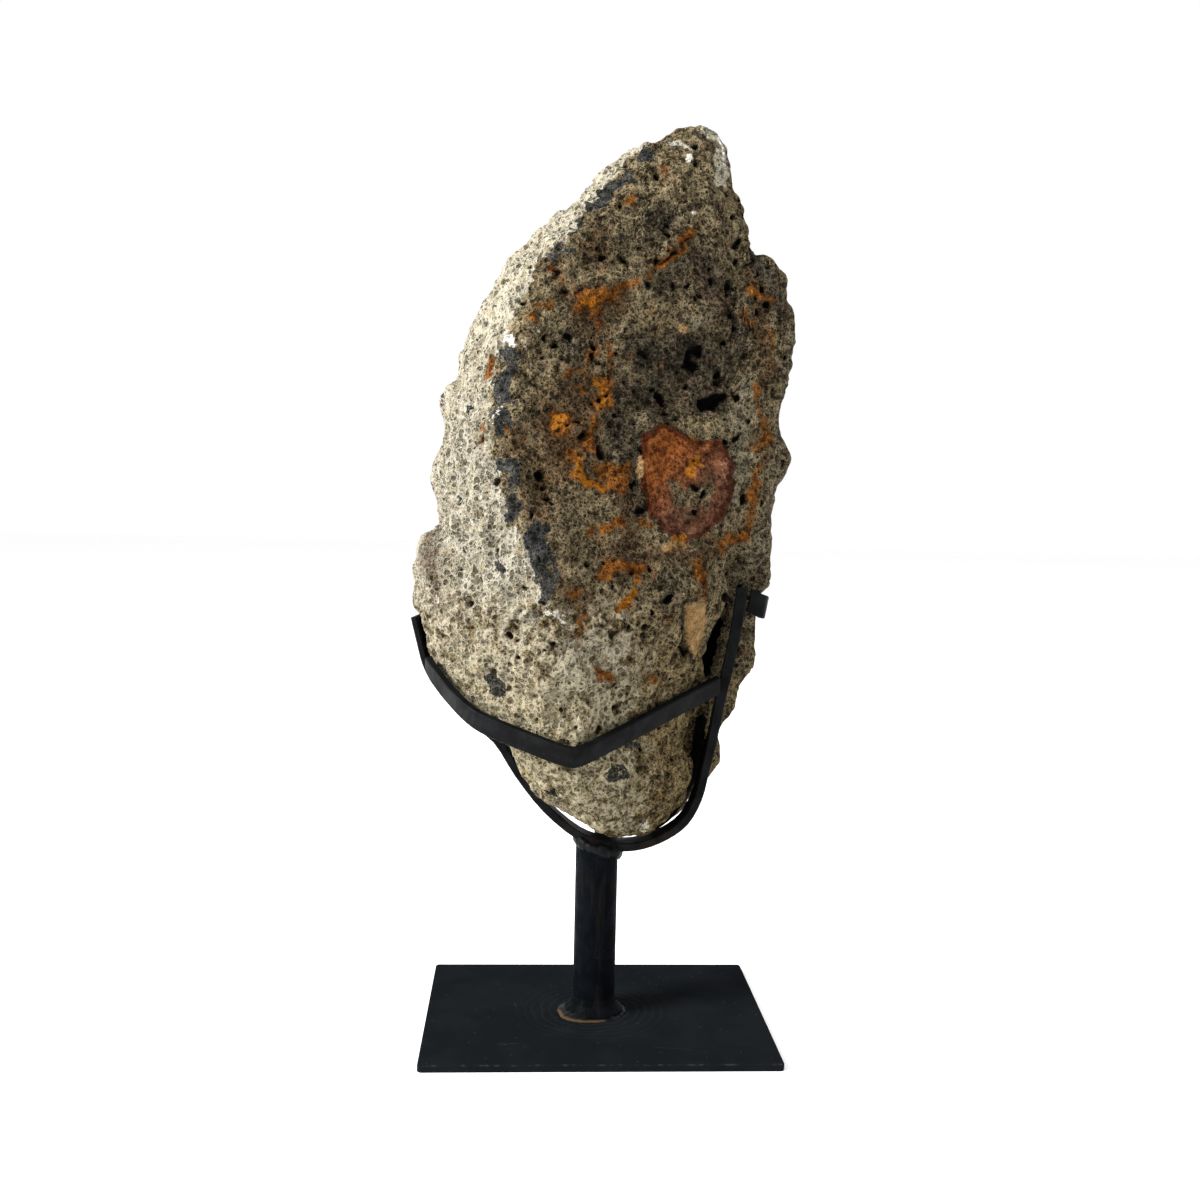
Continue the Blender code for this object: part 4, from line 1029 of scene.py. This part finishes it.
    # Painted shade in the fine pits of the iron stain.
    colour = tint(tree, arithmetic(tree, "MULTIPLY", arithmetic(tree, "MULTIPLY", pepper, 0.6),
                                   iron_edge), colour, rgb(26, 12, 3))
    yellow = ramp(tree, tone, ((0.36, rgb(86, 44, 6)), (0.47, rgb(146, 86, 16)),
                               (0.6, rgb(182, 122, 44))))
    colour = tint(tree, ragged(tree, gold_share, crumb, 0.9, 0.38, 0.58), colour, yellow)
    ink = ramp(tree, tone, ((0.39, rgb(4, 4, 4)), (0.47, rgb(21, 22, 22)),
                            (0.55, rgb(42, 43, 43)), (0.64, rgb(116, 114, 106))))
    navy_edge = ragged(tree, manganese_share, break_up, 2.0, 0.38, 0.48)
    navy_rim = ragged(tree, manganese_share, break_up, 2.0, 0.26, 0.34)
    colour = tint(tree, arithmetic(tree, "MULTIPLY", arithmetic(tree, "MULTIPLY", navy_rim, 0.6),
                                   pale_edge), colour, rgb(206, 200, 184))
    colour = tint(tree, navy_edge, colour, tint(tree, arithmetic(tree, "MULTIPLY", threads, 0.22),
                                                ink, rgb(150, 148, 140)))
    # White crust, and painted highlight at the tip's right side.
    colour = tint(tree, ragged(tree, chalk_and_highlight_share, break_up, 1.8, 0.4, 0.54), colour,
                  rgb(226, 223, 212))
    buff = ramp(tree, tone, ((0.38, rgb(92, 64, 34)), (0.48, rgb(150, 118, 78)),
                             (0.62, rgb(194, 162, 118))))
    colour = tint(tree, ragged(tree, grain_share, speckle, 0.9), colour, buff)
    colour = tint(tree, flake_share, colour, buff)

    plain = arithmetic(tree, "SUBTRACT", 1.0, arithmetic(
        tree, "MAXIMUM", flake_share, arithmetic(tree, "MULTIPLY", navy_edge, 0.7)))
    # Painted shade at the bottom of the bubble pits.
    buried = arithmetic(tree, "MULTIPLY", pore, arithmetic(tree, "MULTIPLY", plain, 0.55))
    colour = tint(tree, buried, colour, deep)
    # Painted shade in the hollows: froth pits and caves, holes, cracks, beside the flake and down the crevice.
    colour = tint(tree, ragged(tree, hollow_shade_share, speckle, 0.6, 0.3, 0.75), colour, deep)
    low = step_between(tree, where_part(tree, where, "Z", 0.0), 215.0, 130.0)
    colour = tint(tree, low, colour, (0.95, 0.9, 0.76, 1.0), "MULTIPLY")
    colour = tint(tree, 1.0, colour, EXPOSED, "MULTIPLY")
    tree.links.new(colour, shader.inputs["Base Color"])

    bumps = arithmetic(tree, "MULTIPLY_ADD", speckle, 0.8, arithmetic(tree, "MULTIPLY", fine,
                                                                     0.4))
    bumps = arithmetic(tree, "MULTIPLY_ADD", arithmetic(tree, "MULTIPLY", pore, plain), -0.8,
                       bumps)
    bumps = arithmetic(tree, "MULTIPLY_ADD", rims, 0.25, bumps)
    tree.links.new(relief(tree, bumps, 1.0, 1.1), shader.inputs["Normal"])
    return finish


def polished_finish():
    finish, tree, shader = new_finish("agate_polished", 0.12, 0.5)
    where = millimetres(tree)
    depth = add_node(tree, "ShaderNodeAttribute", attribute_name="inward").outputs["Fac"]
    sway = arithmetic(tree, "MULTIPLY_ADD", cloud(tree, where, 22.0, 3.0), 9.0, -4.5)
    level = arithmetic(tree, "MAXIMUM", arithmetic(tree, "ADD", depth, sway), 0.0)
    share = arithmetic(tree, "DIVIDE", level, 62.0)
    colour = ramp(tree, share, (
        (0.0, rgb(86, 64, 40)), (0.05, rgb(128, 84, 42)), (0.1, rgb(190, 172, 142)),
        (0.16, rgb(132, 120, 106)), (0.24, rgb(196, 190, 178)), (0.3, rgb(110, 112, 116)),
        (0.4, rgb(172, 174, 174)), (0.5, rgb(92, 96, 104)), (0.62, rgb(188, 188, 184)),
        (0.76, rgb(142, 138, 132)), (1.0, rgb(208, 204, 196))))
    hair = add_node(tree, "ShaderNodeTexWave",
                    {"Vector": add_node(tree, "ShaderNodeCombineXYZ", {"X": level}).outputs[0]},
                    {"Scale": 0.35, "Distortion": 0.4, "Detail": 3.0})
    colour = tint(tree, arithmetic(tree, "MULTIPLY", hair.outputs["Fac"], 0.35), colour,
                  rgb(216, 212, 204))
    tree.links.new(colour, shader.inputs["Base Color"])
    shader.inputs["Coat Weight"].default_value = 0.4
    shader.inputs["Coat Roughness"].default_value = 0.05
    return finish


agate_mesh.materials.append(rind_finish())
agate_mesh.materials.append(polished_finish())
stone = bpy.data.objects.new("agate_stone", agate_mesh)
bpy.context.scene.collection.objects.link(stone)
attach(stone, "root")
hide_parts("agate")

# Floor, light and camera
# A plain pale floor and soft studio light, the main one from the left, and a camera where the
# photograph was taken from.
floor_mesh = bpy.data.meshes.new("floor")
bm = bmesh.new()
bmesh.ops.create_grid(bm, x_segments=1, y_segments=1, size=6.0)
bm.to_mesh(floor_mesh)
bm.free()
floor_finish, floor_tree, floor_shader = new_finish("floor_white", 0.7, 0.2)
floor_shader.inputs["Base Color"].default_value = (0.98, 0.98, 0.98, 1.0)
floor_mesh.materials.append(floor_finish)
floor = bpy.data.objects.new("floor", floor_mesh)
bpy.context.scene.collection.objects.link(floor)

world = bpy.data.worlds.new("studio")
world.use_nodes = True
world.node_tree.nodes["Background"].inputs["Color"].default_value = (1.0, 1.0, 1.0, 1.0)
world.node_tree.nodes["Background"].inputs["Strength"].default_value = 1.0
bpy.context.scene.world = world
bpy.context.scene.view_settings.view_transform = "Standard"


def soft_light(name, place, aim, size, power):
    lamp = bpy.data.lights.new(name, "AREA")
    lamp.shape = "SQUARE"
    lamp.size = size
    lamp.energy = power
    holder = bpy.data.objects.new(name, lamp)
    bpy.context.scene.collection.objects.link(holder)
    holder.location = place
    turn = (Vector(aim) - Vector(place)).to_track_quat("-Z", "Y")
    holder.rotation_euler = turn.to_euler()


soft_light("key_left", (-1.25, -0.55, 1.0), (0, 0, 0.22), 0.5, 60.0)
soft_light("fill_right", (1.0, -1.0, 0.6), (0, 0, 0.22), 0.9, 2.0)
soft_light("behind", (0.3, 1.3, 1.1), (0, 0, 0.22), 1.0, 8.0)

PHOTO_WIDTH = 1200
FOCAL_PIXELS = 1275
SENSOR_MM = 36.0
CAMERA_PLACE = Vector((-0.0356, -0.5651, 0.2358))
YAW = math.radians(3.41)
PITCH = math.radians(4.524)
ROLL = math.radians(1.293)
forward = Vector((math.sin(YAW) * math.cos(PITCH), math.cos(YAW) * math.cos(PITCH),
                  -math.sin(PITCH)))
level_right = Vector((math.cos(YAW), -math.sin(YAW), 0.0))
level_up = level_right.cross(forward)
right = math.cos(ROLL) * level_right + math.sin(ROLL) * level_up
up = -math.sin(ROLL) * level_right + math.cos(ROLL) * level_up
turned = Matrix((right, up, -forward)).transposed().to_4x4()
lens = bpy.data.cameras.new("photo_view")
lens.sensor_width = SENSOR_MM
lens.lens = FOCAL_PIXELS / PHOTO_WIDTH * SENSOR_MM
lens.clip_start = 0.01
camera = bpy.data.objects.new("photo_view", lens)
camera.matrix_world = Matrix.Translation(CAMERA_PLACE) @ turned
bpy.context.scene.collection.objects.link(camera)
bpy.context.scene.camera = camera
